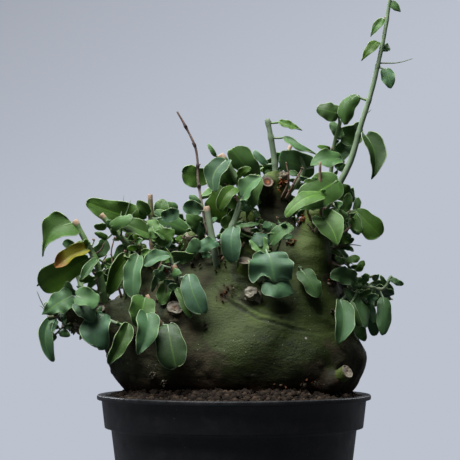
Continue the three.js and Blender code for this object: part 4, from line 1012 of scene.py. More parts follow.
def add_twiglet(stock, place, out, length, draw):
    """A crooked dead twig with a dark tip."""
    path, at, lean = [], np.array(place, float), unit(out)
    for i in range(TWIGLET_ROWS + 1):
        thin = 0.62 - 0.3 * i / TWIGLET_ROWS + 0.16 * (i % 2)
        path.append([*at, thin])
        lean = unit(lean + 0.5 * np.array((draw() - 0.5, draw() - 0.5, draw() - 0.35)))
        at = at + lean * length / TWIGLET_ROWS
    add_rod(stock, path, TWIGLET_SIDES, woody=1.0, tone=0.2, yellow=0.8)


def small_leaf(row, root, draw):
    """A leaf that the solids leave out."""
    return {**make_leaf(row, blade_form(draw, row, False)), "root": root, "width": row[6]}


def add_young_leaf(stock, place, out, size, tone, tone_range, draw):
    """A young leaf that stands on a stem, with a tone drawn from a range over the stem's."""
    base, tip = place + out * size * 0.25, place + out * size * 1.25
    row = [*base, *tip, size * 0.62, 60 * draw() - 30]
    leaf = small_leaf(row, place, draw)
    low, span = tone_range
    look = leaf_look(draw)
    add_leaf(stock, leaf, look, float(np.clip(tone + low + span * draw(), 0, 1)))


def add_young_growth(stock, plan, draw):
    """Young leaves, buds and dead twigs on and round the foot of a stem."""
    first, last = plan["radii"]
    for number in range(plan["young"]):
        share = 0.12 + 0.66 * draw()
        place = plan["curve"].at(share)[0]
        out = heading_out(6.3 * draw(), 0.8, -0.35, 0.7 * draw() - 0.05)
        stem_radius = first + (last - first) * share
        place = place + out * stem_radius * 0.8
        size = 3 + 5.5 * draw() ** 1.5
        if number % 3 == 2:
            add_twiglet(stock, place, out, 1.2 * size, draw)
            continue
        add_young_leaf(stock, place, out, size, plan["tone"], (-0.3, 0.4), draw)
        add_bud(stock, place, out, 0.7 + 0.6 * draw(), draw())
    foot = plan["curve"].at(0.05)[0]
    for _ in range(FOOT_BUDS):
        out = heading_out(6.3 * draw(), 1, 0, 0.5)
        place = foot + out * first * 1.05 + (0, 0, 1.5 * draw())
        size = 1.3 + 1.4 * draw()
        add_bud(stock, place, unit(out + (0, 0, 0.9)), size, 0.5 + 0.5 * draw())


def add_side_twigs(stock, plan, draw):
    """Thin twigs that rise from the skin between the shoots, with young leaves and buds."""
    for points, count, woody in plan["twigs"]:
        points = np.array(points, float)
        points[0] = on_skin(points[0], 4)[0]
        curve = Curve(points)
        path = curve.path(SIDE_TWIG_RADII, STEM_ROW)
        path[:, :3] += 0.4 * wobble(path, 6, 61)
        path[:, 3] *= 1 + 0.3 * np.abs(noise(path[:, :3], 2.5, 64))
        add_rod(stock, pointed_end(path), SIDE_TWIG_SIDES, woody=woody, tone=0.3)
        for number in range(count):
            share = 0.45 + 0.55 * (number + draw()) / count
            place = curve.at(min(share, 1))[0]
            heading = LEAF_TURN * number + draw()
            out = heading_out(heading, 0.7, -0.3, 0.8 * draw() - 0.2)
            size = 4.5 + 5 * draw()
            add_young_leaf(stock, place, out, size, plan["tone"], (-0.35, 0.5), draw)
        for number in range(4):
            place = curve.at(0.25 + 0.25 * number)[0]
            out = unit((draw() - 0.5, draw() - 0.8, draw() - 0.2))
            add_bud(stock, place, out, 1.1 + 0.9 * draw(), 0.6 + 0.4 * woody)


def add_stem(stock, plan, seed):
    path = plan["curve"].path(plan["radii"], STEM_ROW)
    path[:, 3] *= plan["slim"]
    roots = np.array([leaf["root"] for leaf in plan["settled"]])
    gap = norm(path[:, None, :3] - roots[None], axis=2).min(1)
    path[:, 3] *= 1 + 0.2 * bump(gap, 1.3) + 0.04 * noise(path[:, :3], 4, seed)
    sides = STEM_SIDES[plan["radii"][0] > THICK_STEM]
    path = cut_end(path) if plan["cut"] else pointed_end(path)
    rings = rod_points(path, sides, 0.09 * plan["radii"][0] ** 0.5, seed)
    cut = 0
    if plan["cut"] and plan["slim"] == 1:
        to_end = norm(path[:, :3] - path[-1, :3], axis=1)
        cut = np.repeat(smooth_step(to_end, 4.5, 1.5), sides)
    stock.add(
        rings, tube_faces(len(path), sides), 1,
        along=np.repeat(np.linspace(0, 1, len(path)), sides),
        cut=cut, woody=plan["woody"], tone=plan["tone"],
    )
    for number, needle in enumerate(plan["needles"]):
        start, end = needle_path(needle)
        reach = np.linspace(0, 1, 13)[:, None]
        rows = start + (end - start) * reach
        length = norm(end[:3] - start[:3])
        curl = np.array((0.2, -0.3, 1.0)) * (-1, 1)[number % 2]
        rows[:, :3] += curl * 0.07 * length * np.sin(math.pi * reach * 1.3) * reach
        add_rod(stock, rows, NEEDLE_SIDES, woody=0.35, tone=0.6)


def add_shoot(name, plan, material_pair, seed):
    tone = plan["tone"]
    draw = draws(SHOOT_SEED + seed)
    stock = Stock(*STEM_VALUES)
    add_stem(stock, plan, seed)
    for number, leaf in enumerate(plan["settled"]):
        look = leaf_look(draw)
        leaf_tone = float(np.clip(tone + 0.6 * (draw() - 0.5), 0, 1))
        special = plan["special"].get(number, {})
        look["twist"] *= 0.4 if special else 1
        look.update(special)
        look["square"] = special.get("square", 0.26 if look["point"] == 0 else 0.1)
        # Painted light and shade: each leaf is made lighter or darker by its light value
        look["light"] = special.get("light", 0.35 * math.sin(5 * look["phase"]) - 0.12)
        add_leaf(stock, leaf, look, special.get("tone", leaf_tone), special.get("yellow", 0.0))
        if draw() > 0.45:
            out = unit(leaf["base"] - leaf["root"] + (0, 0, 0.01))
            size, woody = 1.2 + 0.9 * draw(), 0.3 + 0.7 * draw()
            add_bud(stock, leaf["root"] + out * 0.6, unit(out + (0, 0, 0.8)), size, woody, 4)
    line = plan["curve"].at(np.linspace(0, 1, 40))
    for row, leaf_tone, light in plan["extra"]:
        leaf = small_leaf(row, line[np.argmin(norm(line - row[:3], axis=1))], draw)
        add_leaf(stock, leaf, {**leaf_look(draw), "light": light}, leaf_tone)
    add_young_growth(stock, plan, draw)
    add_side_twigs(stock, plan, draw)
    return stock.piece(f"{name}_shoot", material_pair)


# Caudex

FLAKE_SEED, STUB_SEED, LITTER_SEED, RUSTY_SEED = 900, 50, 100, 200
CAUDEX_VALUES = ("bark", "pale", "scar", "cut", "ring", "crease_shade", "aged", "core", "rust")
STUB_COLLAR = 1.2


def front_line(places, lift=0.0):
    """Points on the front of the skin at each given x and z."""
    found = []
    depths = np.arange(-75.0, 20.0, 0.5)
    for x, z in places:
        ray = np.column_stack([np.full(len(depths), x), depths, np.full(len(depths), z)])
        hit = np.argmax(skin_distance(ray) < 0)
        found.append((x, depths[hit] - lift, z))
    return np.array(found, float)


def line_distance(points, line):
    """The distance of points to a line through a few places, and their share along it."""
    best = np.full(len(points), 1e9)
    share = np.zeros(len(points))
    for i, (a, b) in enumerate(zip(line, line[1:])):
        along = b - a
        t = np.clip((points - a) @ along / (along @ along), 0, 1)
        gap = norm(points - a - t[:, None] * along, axis=1)
        share = np.where(gap < best, (i + t) / (len(line) - 1), share)
        best = np.minimum(best, gap)
    return best, share


# The two long wrinkles across the front, as x and z
CREASES = (
    ((-13, 224), (-6, 216), (4, 209), (16, 202.5), (27, 199), (41, 195), (56, 193)),
    ((-8, 224), (0, 216.5), (9, 210.5), (19, 206), (31, 202.5), (40, 200.5)),
)
# Relief of the whole skin: depth, size and seed of the noise
WAVES = ((1.15, (15, 15, 22), 1), (0.42, 7.5, 2))
# Dents and warts: depth, size and seed of the noise, and between which levels of it they rise
PITS_AND_WARTS = (
    (-0.9, (26, 26, 13), 18, 0.25, 0.6), (-0.22, 4.2, 15, 0.45, 0.8), (0.35, 3.2, 16, 0.5, 0.85),
)
# The broad dent low on the left: centre, radii and depth
LOW_DENT = ((-84, -8, 172), (20, 40, 16), 1.7)
# How far out of the skin a place is felt to be a hollow, where shade is painted onto the skin
HOLLOW_REACH = 15
# Patches of rough brown bark, some of them painted shade: centre, radius and strength
BARK_AND_SHADE_PATCHES = (
    ((-6, -38, 221), 9, 1), ((55, -38, 158), 18, 1), ((-58, -38, 160), 20, 0.55),
    ((-95, -10, 200), 20, 0.8), ((-34, -26, 233), 13, 0.8), ((-56, -26, 216), 15, 0.7),
    ((-74, -24, 198), 13, 0.5), ((-60, -38, 182), 22, 0.6), ((75, 5, 178), 16, 0.6),
    ((28, -4, 279), 13, 0.9), ((0, 50, 165), 22, 0.7), ((-40, 45, 172), 16, 0.5),
    ((48, 44, 170), 16, 0.6), ((-22, -28, 234), 13, 0.8), ((-34, -36, 220), 16, 0.85),
    ((-30, -46, 190), 15, 0.75), ((-24, -50, 170), 19, 0.95), ((-36, -44, 200), 14, 0.7),
    ((70, -22, 178), 20, 0.8), ((62, -16, 226), 9, 0.8), ((52, -16, 214), 9, 0.6),
)
# Paler young skin
PALE_PATCHES = (((4, -24, 244), 12), ((-8, -38, 216), 9), ((60, -16, 252), 9), ((16, -40, 205), 10))
# Whitish flaky scars where old shoots fell
FLAKY_SCARS = (
    ((13, -34, 218), 6), ((-38, -37, 202), 5.5), ((-40, -40, 194), 4), ((-88, -14, 203), 4),
    ((-100, -12, 194), 6), ((-92, -14, 190), 5), ((-107, -6, 199), 4), ((-18, -42, 196), 1.6),
    ((30, -38, 243), 3), ((50, -22, 228), 3), ((-60, -30, 190), 3), ((62, -22, 205), 2),
    ((-52, -40, 166), 3), ((-46, -44, 160), 2.5), ((44, -42, 160), 3), ((52, -40, 161), 2.5),
    ((10, 52, 190), 5), ((-30, 48, 200), 4), ((60, 30, 195), 4),
)
# Litter of dry scales in the hollows between the limbs: centre, radius and how many
LITTER = (
    ((-6, -20, 244), 9, 34), ((20, -22, 246), 7, 30), ((36, -12, 252), 3, 16),
    ((43, -8, 266), 2.5, 10), ((-30, -14, 246), 8, 26), ((-50, -14, 238), 9, 26),
    ((-68, -10, 226), 9, 26), ((32, 6, 288), 4, 12), ((60, -10, 240), 4, 12),
    ((-6, -38, 221), 6, 26), ((64, -16, 226), 5, 14), ((-36, -36, 206), 6, 16),
    ((0, 20, 250), 10, 30), ((-40, 18, 232), 10, 26), ((40, 24, 240), 10, 26),
    ((-88, -6, 208), 7, 18), ((8, -14, 262), 5, 14), ((50, -38, 157), 9, 22),
    ((30, -44, 155), 9, 18),
)


def share_of(points, centre, radii):
    """How far points lie from a centre, as a share of its radius."""
    return norm((points - np.array(centre)) / radii, axis=1)


def sculpt(points, normals):
    """How far each point of the skin stands out, and its surface values."""
    grain = partial(noise, points)
    x, _, z = points.T
    bark = smooth_step(z, 172, 150) * (0.75 + 0.45 * grain(12, 5))
    # Bark patches; several are painted shade, under the leaves on the left, low on the front and on
    # the rear column
    ragged = 0.35 * grain(6, 6)
    for centre, radius, strength in BARK_AND_SHADE_PATCHES:
        gap = share_of(points, centre, radius) + ragged
        bark = np.maximum(bark, strength * smooth_step(gap, 1.1, 0.5))
    bark = np.clip(bark, 0, 1)
    scar = np.zeros(len(points))
    ragged = 0.5 * grain(2.4, 7)
    for centre, radius in FLAKY_SCARS:
        scar = np.maximum(scar, smooth_step(share_of(points, centre, radius) + ragged, 1.25, 0.55))
    # Painted light: the upper skin and the skin that faces up are made paler, as lit from above
    up = smooth_step(z, 205, 262) * 0.75 + 0.25 * smooth_step(normals[:, 2], -0.2, 0.8)
    pale = np.clip(up + 0.3 * grain(26, 8), 0, 1) * (1 - 0.8 * bark)
    ragged = 0.3 * grain(5, 17)
    for centre, radius in PALE_PATCHES:
        pale = np.maximum(pale, 0.9 * bump(share_of(points, centre, radius) + ragged, 1))
    # Painted shade in the hollows: they get the dark bark colour and near black
    hollow_shade = smooth_step(skin_distance(points + normals * HOLLOW_REACH) / HOLLOW_REACH, 0.93, 0.6)
    bark = np.maximum(bark, 0.7 * hollow_shade)
    crease_shade = 0.85 * hollow_shade
    height = sum(depth * grain(size, seed) for depth, size, seed in WAVES)
    for depth, size, seed, low, high in PITS_AND_WARTS:
        height += depth * smooth_step(grain(size, seed), low, high)
    # Each long wrinkle is cut into the skin, and painted shade darkens its groove
    for number, places in enumerate(CREASES):
        gap, share = line_distance(points, front_line(places))
        strength = (1, 0.7)[number] * np.sin(math.pi * np.clip(share * 0.94 + 0.06, 0, 1)) ** 0.5
        gap += 0.5 * grain(5, 9 + number)
        height += strength * (0.5 * bump(gap - 2.0, 1.1) - 0.95 * bump(gap, 0.85))
        crease_shade = np.maximum(crease_shade, strength * bump(gap, 1.1))
    wrinkle = grain((16, 16, 2.6), 3) * 0.2 + grain((9, 9, 1.7), 4) * 0.1
    height += wrinkle * (1 - 0.5 * bark) * (0.3 + 0.7 * smooth_step(z, 195, 235))
    height += bark * (0.55 * np.abs(grain(3.4, 10)) + 0.5 * grain(5.5, 11))
    height -= LOW_DENT[2] * bump(share_of(points, *LOW_DENT[:2]), 1)
    knob = smooth_step(-x, 72, 92)
    height += knob * (1.6 * np.maximum(grain(5.5, 12), 0) + 0.5 * grain(2.6, 19) - 0.35)
    bark = np.maximum(bark, 0.75 * knob * (0.6 + 0.6 * grain(9, 13)).clip(0, 1))
    height += scar * (0.5 + grain(2.1, 14))
    # A ridge round the foot of each stub, and painted shade where it meets the skin
    for path in map(stub_path, STUBS):
        gap = line_distance(points, path[:, :3])[0] - path[0, 3]
        height += 0.35 * bump(np.abs(gap - 2.2), 1.0)
        crease_shade = np.maximum(crease_shade, 0.8 * bump(gap - 0.4, 1.6))
    return height, {
        "bark": bark.clip(0, 1), "pale": pale, "scar": scar, "crease_shade": crease_shade.clip(0, 1),
    }


def fine_skin(cell):
    """The skin as a smooth fine mesh of quads, with its points put back on the surface."""
    points, quads = skin_net(collared_distance, SKIN_LOW, SKIN_HIGH, cell)
    mesh = bpy.data.meshes.new("skin net")
    mesh.from_pydata(points.tolist(), [], quads.tolist())
    thing = bpy.data.objects.new("skin net", mesh)
    bpy.context.scene.collection.objects.link(thing)
    thing.modifiers.new("Smooth", "SUBSURF").levels = 1
    smooth = thing.evaluated_get(bpy.context.evaluated_depsgraph_get()).to_mesh()
    points = np.zeros(len(smooth.vertices) * 3, np.float32)
    smooth.vertices.foreach_get("co", points)
    faces = [tuple(polygon.vertices) for polygon in smooth.polygons]
    bpy.data.objects.remove(thing)
    bpy.data.meshes.remove(mesh)
    points = points.reshape(-1, 3).astype(float)
    normals = slopes(collared_distance, points)
    points = points - normals * (0.9 * collared_distance(points))[:, None]
    return points, normals, faces


# How grey each cut is, how brown its core, how rough its face and how much bark its sides have; on
# stub 7 the bark is partly painted shade
STUB_LOOKS = {
    0: (0.8, 0.1, 0.5, 0), 1: (0.9, 0.2, 0.4, 0), 2: (0.8, 0.3, 0.5, 0.1), 3: (1, 0.3, 1.4, 0.6),
    4: (0.25, 1, 0.2, 0.7), 5: (0.3, 1, 2, 1), 6: (0.9, 0.2, 0.6, 0.1), 7: (0.6, 0.3, 1, 0.9),
    9: (1, 0, 2.6, 0), 10: (0.7, 0.4, 1, 0.5),
}
STUB_SIDES = 32
# A cut face from its rim to its middle: how far it stands out, in quarters of its radius, and
# the share of the radius
CUT_FACE = (
    (0.0, 1.02), (0.12, 0.98), (0.05, 0.9), (-0.2, 0.84), (-0.12, 0.7), (-0.28, 0.6),
    (-0.2, 0.46), (-0.4, 0.36), (-0.32, 0.24), (-0.6, 0.16), (-0.7, 0.05),
)
# How far the end of a cut limb leans off the line that the solids have
STUB_TILTS = {3: (0, 1.5, 2), 4: (0, -1.5, -2.5)}


def add_stub(stock, stub, seed):
    """A cut limb: rough sides, a worn rim and a ringed face that dips to its middle."""
    aged, core, rough, bark = STUB_LOOKS.get(seed, (0.6, 0.5, 0.5, 0.4))
    start, end, foot, cut = stub
    start, end = np.array(start, float), np.array(end, float) + STUB_TILTS.get(seed, (0, 0, 0))
    along = unit(end - start)
    length = norm(end - start)
    rows = []
    for share in np.linspace(0, 0.97, 12):
        swell = 1 + 0.05 * math.sin(share * 9 + seed)
        radius = (foot + (cut - foot) * min(share / STUB_MIDDLE / 2 + share / 2, 1)) * swell
        rows.append((share * length, radius, 0, 1))
    rows += [(length + dip * cut / 4, cut * share, 1, share) for dip, share in CUT_FACE]
    place, radius, cut_mask, share_out = np.repeat(np.array(rows, float), STUB_SIDES, axis=0).T
    across, third, _ = ring_frames(np.array([start, end]))[0]
    cosines, sines = ring_turns(STUB_SIDES)
    out = np.tile(np.outer(cosines, across) + np.outer(sines, third), (len(rows), 1))
    flat = start + along * place[:, None] + out * radius[:, None]
    push = 0.32 * noise(flat, (2.6, 2.6, 1.6), seed) + 0.3 * noise(flat, 5, seed + 1)
    height = place / length
    flat += out * (push * share_out)[:, None]
    bumps = noise(flat, 1.9, seed + 2) + 0.6 * noise(flat, 1.1, seed + 3)
    flat += along * (0.5 * rough * cut_mask * bumps)[:, None]
    side_rough = 0.4 * rough * (1 - cut_mask) * height * np.abs(noise(flat, 1.6, seed + 4))
    flat += out * side_rough[:, None]
    pale = (0.9 - 0.6 * bark) * (0.2 + 0.8 * smooth_step(height, 0.2, 0.7))
    stock.add(
        flat, tube_faces(len(rows), STUB_SIDES),
        cut=cut_mask, ring=share_out, aged=aged, core=core,
        bark=np.clip(bark + 0.5 * (height - 0.6), 0, 1) * (1 - cut_mask), pale=pale,
        scar=(0.1 + 0.45 * min(rough, 1.2) * height) * (1 - cut_mask),
    )
    if rough > 1:
        count = int(24 * rough)
        add_flakes(stock, end - along, cut * 0.9, count, STUB_SEED + seed, SCAR_TINTS)


# Pairs of whitish scar and brown bark for dry scales, and how rusty they are
SCAR_TINTS = ((0.9, 0.1, 0), (0.6, 0.3, 0), (0.2, 0.9, 0), (1.0, 0, 0))
RUST_TINTS = ((0, 0.4, 1), (0, 0.6, 0.8), (0, 0, 1))
# Rust-red bits where shoots broke off
RUSTY = (((37.5, -15, 253), 2.4), ((43, -11, 268), 2.2), ((33, 2, 293), 2.6), ((20, -24, 243), 1.8))
RUSTY_BITS = 10
FLAKE_HALF = 0.16
LITTER_TINTS = ((0, 1, 0), (0, 0.9, 0), (0.5, 0.5, 0), (0, 0.6, 0.9), (0, 1, 0.3), (0.8, 0.2, 0))


def add_flakes(stock, centre, radius, count, seed, tints):
    """Dry scales that curl away from the skin."""
    draw = draws(FLAKE_SEED + seed)
    middle = np.array(centre, float)
    for _ in range(count):
        off = np.array([draw() - 0.5 for _ in range(3)]) * 2 * radius
        place, out = on_skin(middle + off, 3)
        lean = unit(out + 1.1 * unit(np.cross(out, off + (0.1, 0.2, 0.3))) * (draw() - 0.2))
        side = unit(np.cross(lean, off + (0.3, 0.1, 0.2)))
        size = 1.1 + 1.9 * draw() ** 1.5
        scar, bark, rust = tints[int(draw() * len(tints)) % len(tints)]
        reach = np.linspace(0, 1, 5)[:, None]
        spine = place - out * 0.5 + (lean * reach + out * 0.25 * reach**2) * size
        width = size * 0.42 * np.sin(math.pi * (0.25 + 0.68 * reach)) + 0.05
        face = unit(np.cross(side, lean))
        ways = (side * width, face * FLAKE_HALF, -side * width, -face * FLAKE_HALF)
        rings = np.stack([spine + way for way in ways], 1)
        stock.add_rings(rings, scar=scar, bark=bark, rust=rust, pale=0.2)


# Grit

SKIN_LOW = (-132, -74, 118)
SKIN_HIGH = (104, 74, 306)
EDGE_LEVEL = 149.6
CROWN_LEVEL = 156
SOIL_SLOPE = 34
INNER_TOP = 84
GROUND_SIDES = 180
GROUND_RINGS = np.linspace(82.6, 20, 34)
TRIES_FOR_GRAIN = 20
# Radius and height down the side of the grit, from its foot
GRIT_SIDE = ((60, 3.4), (62.6, 3.6), (78, 125.5), (81.6, 132.2), (83.2, 146.5))


def soil_level(radius):
    rise = np.sin(math.pi / 2 * np.clip((INNER_TOP - radius) / SOIL_SLOPE, 0, 1))
    return EDGE_LEVEL + (CROWN_LEVEL - EDGE_LEVEL) * rise


def stone_shape():
    """The points and triangles of a ball with twenty faces."""
    shape = bmesh.new()
    bmesh.ops.create_icosphere(shape, subdivisions=1, radius=1)
    points = np.array([v.co for v in shape.verts])
    faces = np.array([[v.index for v in face.verts] for face in shape.faces])
    shape.free()
    return points, faces


def add_stone(stock, ball, place, size, draw, tone):
    points, faces = ball
    turn = np.linalg.qr(np.array([[draw() - 0.5 for _ in range(3)] for _ in range(3)]))[0]
    if np.linalg.det(turn) < 0:
        turn[:, 0] *= -1
    stretch = np.array([0.75 + 0.5 * draw() for _ in range(3)])
    chips = 1 + 0.22 * noise(points * 3 + place, 1.9, 3)
    shaped = (points * chips[:, None] * stretch) @ turn * size / 2 + place
    stock.add(shaped, faces, tone=tone)


# Pot


def pot_profile(own):
    """Half of the pot's section from the middle of the underside round to the inside floor."""
    rim, height = own.rim_radius / METRE, own.pot_height / METRE
    collar_top, collar_foot, wall_top, foot = rim - 3, rim - 5, rim - 9.2, rim - 25
    lip, collar = height - 3.2, height - 22
    return [
        (0, 0.8), (foot - 9, 0.8), (foot - 8, 0), (foot - 3, 0), (foot - 1.6, 0.5),
        (foot - 0.5, 1.6), (foot, 3), (foot + 1.2, 12), (wall_top - 4.5, collar - 36),
        (wall_top - 0.3, collar - 2), (wall_top, collar - 0.6), (wall_top + 0.6, collar),
        (collar_foot - 0.9, collar), (collar_foot - 0.2, collar + 0.3), (collar_foot, collar + 1),
        (collar_top - 0.1, lip - 0.9), (collar_top + 0.15, lip - 0.3), (collar_top + 0.7, lip),
        (rim - 0.6, lip), (rim - 0.15, lip + 0.2), (rim, lip + 0.8), (rim, height - 1.2),
        (rim - 0.2, height - 0.5), (rim - 0.7, height - 0.1), (rim - 1.3, height),
        (rim - 4.9, height), (rim - 5.6, height - 0.3), (INNER_TOP, height - 1),
        (rim - 8, height - 18), (wall_top - 2, height - 24), (foot - 2, 3.6), (foot - 3, 3), (0, 3),
    ]


# Materials


class Board:
    """Fills in a node tree. Effects lie on the object's own coordinates."""

    def __init__(self, tree):
        self.tree = tree

    def add(self, kind, inputs, **settings):
        node = self.tree.nodes.new("ShaderNode" + kind)
        for name, value in settings.items():
            setattr(node, name, value)
        for name, value in inputs.items():
            self.feed(node.inputs[name], value)
        return node

    def feed(self, socket, value):
        if isinstance(value, bpy.types.NodeSocket):
            self.tree.links.new(value, socket)
        else:
            socket.default_value = value

    def math(self, operation, *values):
        return self.add("Math", dict(enumerate(values)), operation=operation).outputs[0]

    def times(self, a, b):
        return self.math("MULTIPLY", a, b)

    def plus(self, a, b):
        return self.math("ADD", a, b)

    def mix(self, share, a, b):
        return self.add("Mix", {0: share, 6: shade(a), 7: shade(b)}, data_type="RGBA").outputs[2]

    def layers(self, base, *rows):
        """Lays colours over a base. A row has its colour, its mask and how well it covers."""
        for colour, mask, cover in rows:
            base = self.mix(mask if cover == 1 else self.times(mask, cover), base, colour)
        return base

    def step(self, value, low, high, bottom=0.0, top=1.0):
        inputs = dict(enumerate((value, low, high, bottom, top)))
        return self.add("MapRange", inputs, interpolation_type="SMOOTHSTEP").outputs[0]

    def value(self, name):
        node = self.add("Attribute", {}, attribute_name=name, attribute_type="GEOMETRY")
        return node.outputs["Fac"]

    def noise(self, place, size, detail=2.0, rough=0.5):
        scale = self.math("DIVIDE", 1.0, size)
        inputs = {"Vector": place, "Scale": scale, "Detail": detail, "Roughness": rough}
        return self.add("TexNoise", inputs).outputs[0]

    def place(self, stretch=None):
        place = self.add("TexCoord", {}).outputs["Object"]
        if stretch:
            place = self.add("Mapping", {"Vector": place, "Scale": stretch}).outputs[0]
        return place

    def level(self, low, high, bottom=0.0, top=1.0):
        """A step by height over the pot's foot, in metres."""
        height = self.add("SeparateXYZ", {0: self.place()}).outputs[2]
        return self.step(height, low, high, bottom, top)

    def effect(self, name, stretch=None, **inputs):
        node = self.tree.nodes.new("ShaderNodeGroup")
        node.node_tree = shared_effect(name)
        self.feed(node.inputs["Position"], self.place(stretch))
        for socket, value in inputs.items():
            self.feed(node.inputs[socket.capitalize()], value)
        return node.outputs[0]


def shade(colour):
    if isinstance(colour, bpy.types.NodeSocket):
        return colour
    return (*tuple(colour)[:3], 1.0)


def dim(colour, factor):
    """A colour times one factor, or one for each channel."""
    return tuple(np.multiply(tuple(colour), factor).tolist())


def fill_mottle(board, place, size):
    broad = board.noise(place, size, 3.0, 0.6)
    small = board.noise(place, board.times(size, 0.22))
    return board.step(board.plus(board.times(broad, 0.65), board.times(small, 0.35)), 0.34, 0.66)


def fill_relief(board, place, size, lines):
    grain = board.noise(place, size, 4.0, 0.65)
    flat = board.add("Mapping", {"Vector": place, "Scale": (1, 1, 5)}).outputs[0]
    lined = board.noise(flat, board.times(size, 3), 3.0, 0.6)
    kept = board.math("SUBTRACT", 1.0, lines)
    return board.plus(board.times(grain, kept), board.times(lined, lines))


def fill_specks(board, place, spacing, radius, share):
    scale = board.math("DIVIDE", 1.0, spacing)
    cells = board.add("TexVoronoi", {"Vector": place, "Scale": scale})
    gap = board.times(cells.outputs["Distance"], spacing)
    dot = board.step(gap, radius, board.times(radius, 0.55))
    pick = board.add("SeparateColor", {0: cells.outputs["Color"]}).outputs[0]
    kept = board.math("GREATER_THAN", pick, board.math("SUBTRACT", 1.0, share))
    return board.times(dot, kept)


def fill_dust(board, place, size, amount):
    normal = board.add("NewGeometry", {}).outputs["Normal"]
    up = board.step(board.add("SeparateXYZ", {0: normal}).outputs[2], 0.0, 1.0, 0.35, 1.0)
    patch = board.step(board.noise(place, size, 5.0, 0.7), 0.42, 0.75)
    return board.times(board.times(up, patch), amount)


# Effects that several materials share: what fills each, its output and its numbers
EFFECTS = {
    "Mottle": (fill_mottle, "Mask", {"Size": 0.01}),
    "Relief": (fill_relief, "Height", {"Size": 0.001, "Lines": 0.5}),
    "Specks": (fill_specks, "Mask", {"Spacing": 0.01, "Radius": 0.0005, "Share": 0.5}),
    "Dust": (fill_dust, "Mask", {"Size": 0.01, "Amount": 0.5}),
}


def shared_effect(name):
    """A shader node group with named sockets, built once."""
    group = bpy.data.node_groups.get(name)
    if group:
        return group
    fill, output, numbers = EFFECTS[name]
    group = bpy.data.node_groups.new(name, "ShaderNodeTree")
    sockets = group.interface
    sockets.new_socket("Position", in_out="INPUT", socket_type="NodeSocketVector")
    for socket, default in numbers.items():
        made = sockets.new_socket(socket, in_out="INPUT", socket_type="NodeSocketFloat")
        made.default_value = default
    sockets.new_socket(output, in_out="OUTPUT", socket_type="NodeSocketFloat")
    start, end = (group.nodes.new("NodeGroup" + kind) for kind in ("Input", "Output"))
    given = [start.outputs[socket] for socket in ("Position", *numbers)]
    group.links.new(fill(Board(group), *given), end.inputs[output])
    return group


def new_material(name, fill):
    material = bpy.data.materials.get(name)
    if material:
        return material
    material = bpy.data.materials.new(name)
    material.use_nodes = True
    board = Board(material.node_tree)
    surface = material.node_tree.nodes["Principled BSDF"]
    looks = fill(board, settings())
    if "height" in looks:
        height, depth = looks.pop("height")
        bumped = board.add("Bump", {"Height": height, "Distance": depth, "Strength": 1.0})
        board.feed(surface.inputs["Normal"], bumped.outputs[0])
    for socket, value in looks.items():
        board.feed(surface.inputs[socket], value)
    return material


def plastic(board, own):
    mottle = board.effect("Mottle", size=0.03)
    scuff = board.step(board.noise(board.place((0.4, 0.4, 2.2)), 0.008, 4.0, 0.7), 0.62, 0.74)
    base = board.layers(
        own.pot_colour,
        (dim(own.pot_colour, 1.5), mottle, 1),
        ((0.05, 0.053, 0.06), scuff, 0.25),
        ((0.09, 0.085, 0.08), board.effect("Dust", size=0.012, amount=0.5), 1),
        ((0.2, 0.19, 0.17), board.effect("Specks", spacing=0.006, radius=0.0004, share=0.35), 0.6),
    )
    return {
        "Base Color": base, "Roughness": board.step(mottle, 0, 1, 0.36, 0.5),
        "height": (board.effect("Relief", size=0.0016, lines=0.2), 0.00012),
    }


def grit(board, own):
    brown, tone = own.grit_colour, board.value("tone")
    base = board.layers(
        dim(brown, 0.3),
        (brown, board.step(tone, 0.1, 0.75), 1),
        (dim(brown, 2.4), board.step(tone, 0.72, 1.0), 1),
        (dim(brown, 0.45), board.effect("Mottle", size=0.0022), 0.45),
    )
    return {
        "Base Color": base, "Roughness": 0.92, "Specular IOR Level": 0.15,
        "height": (board.effect("Relief", size=0.0005, lines=0.0), 0.0003),
    }


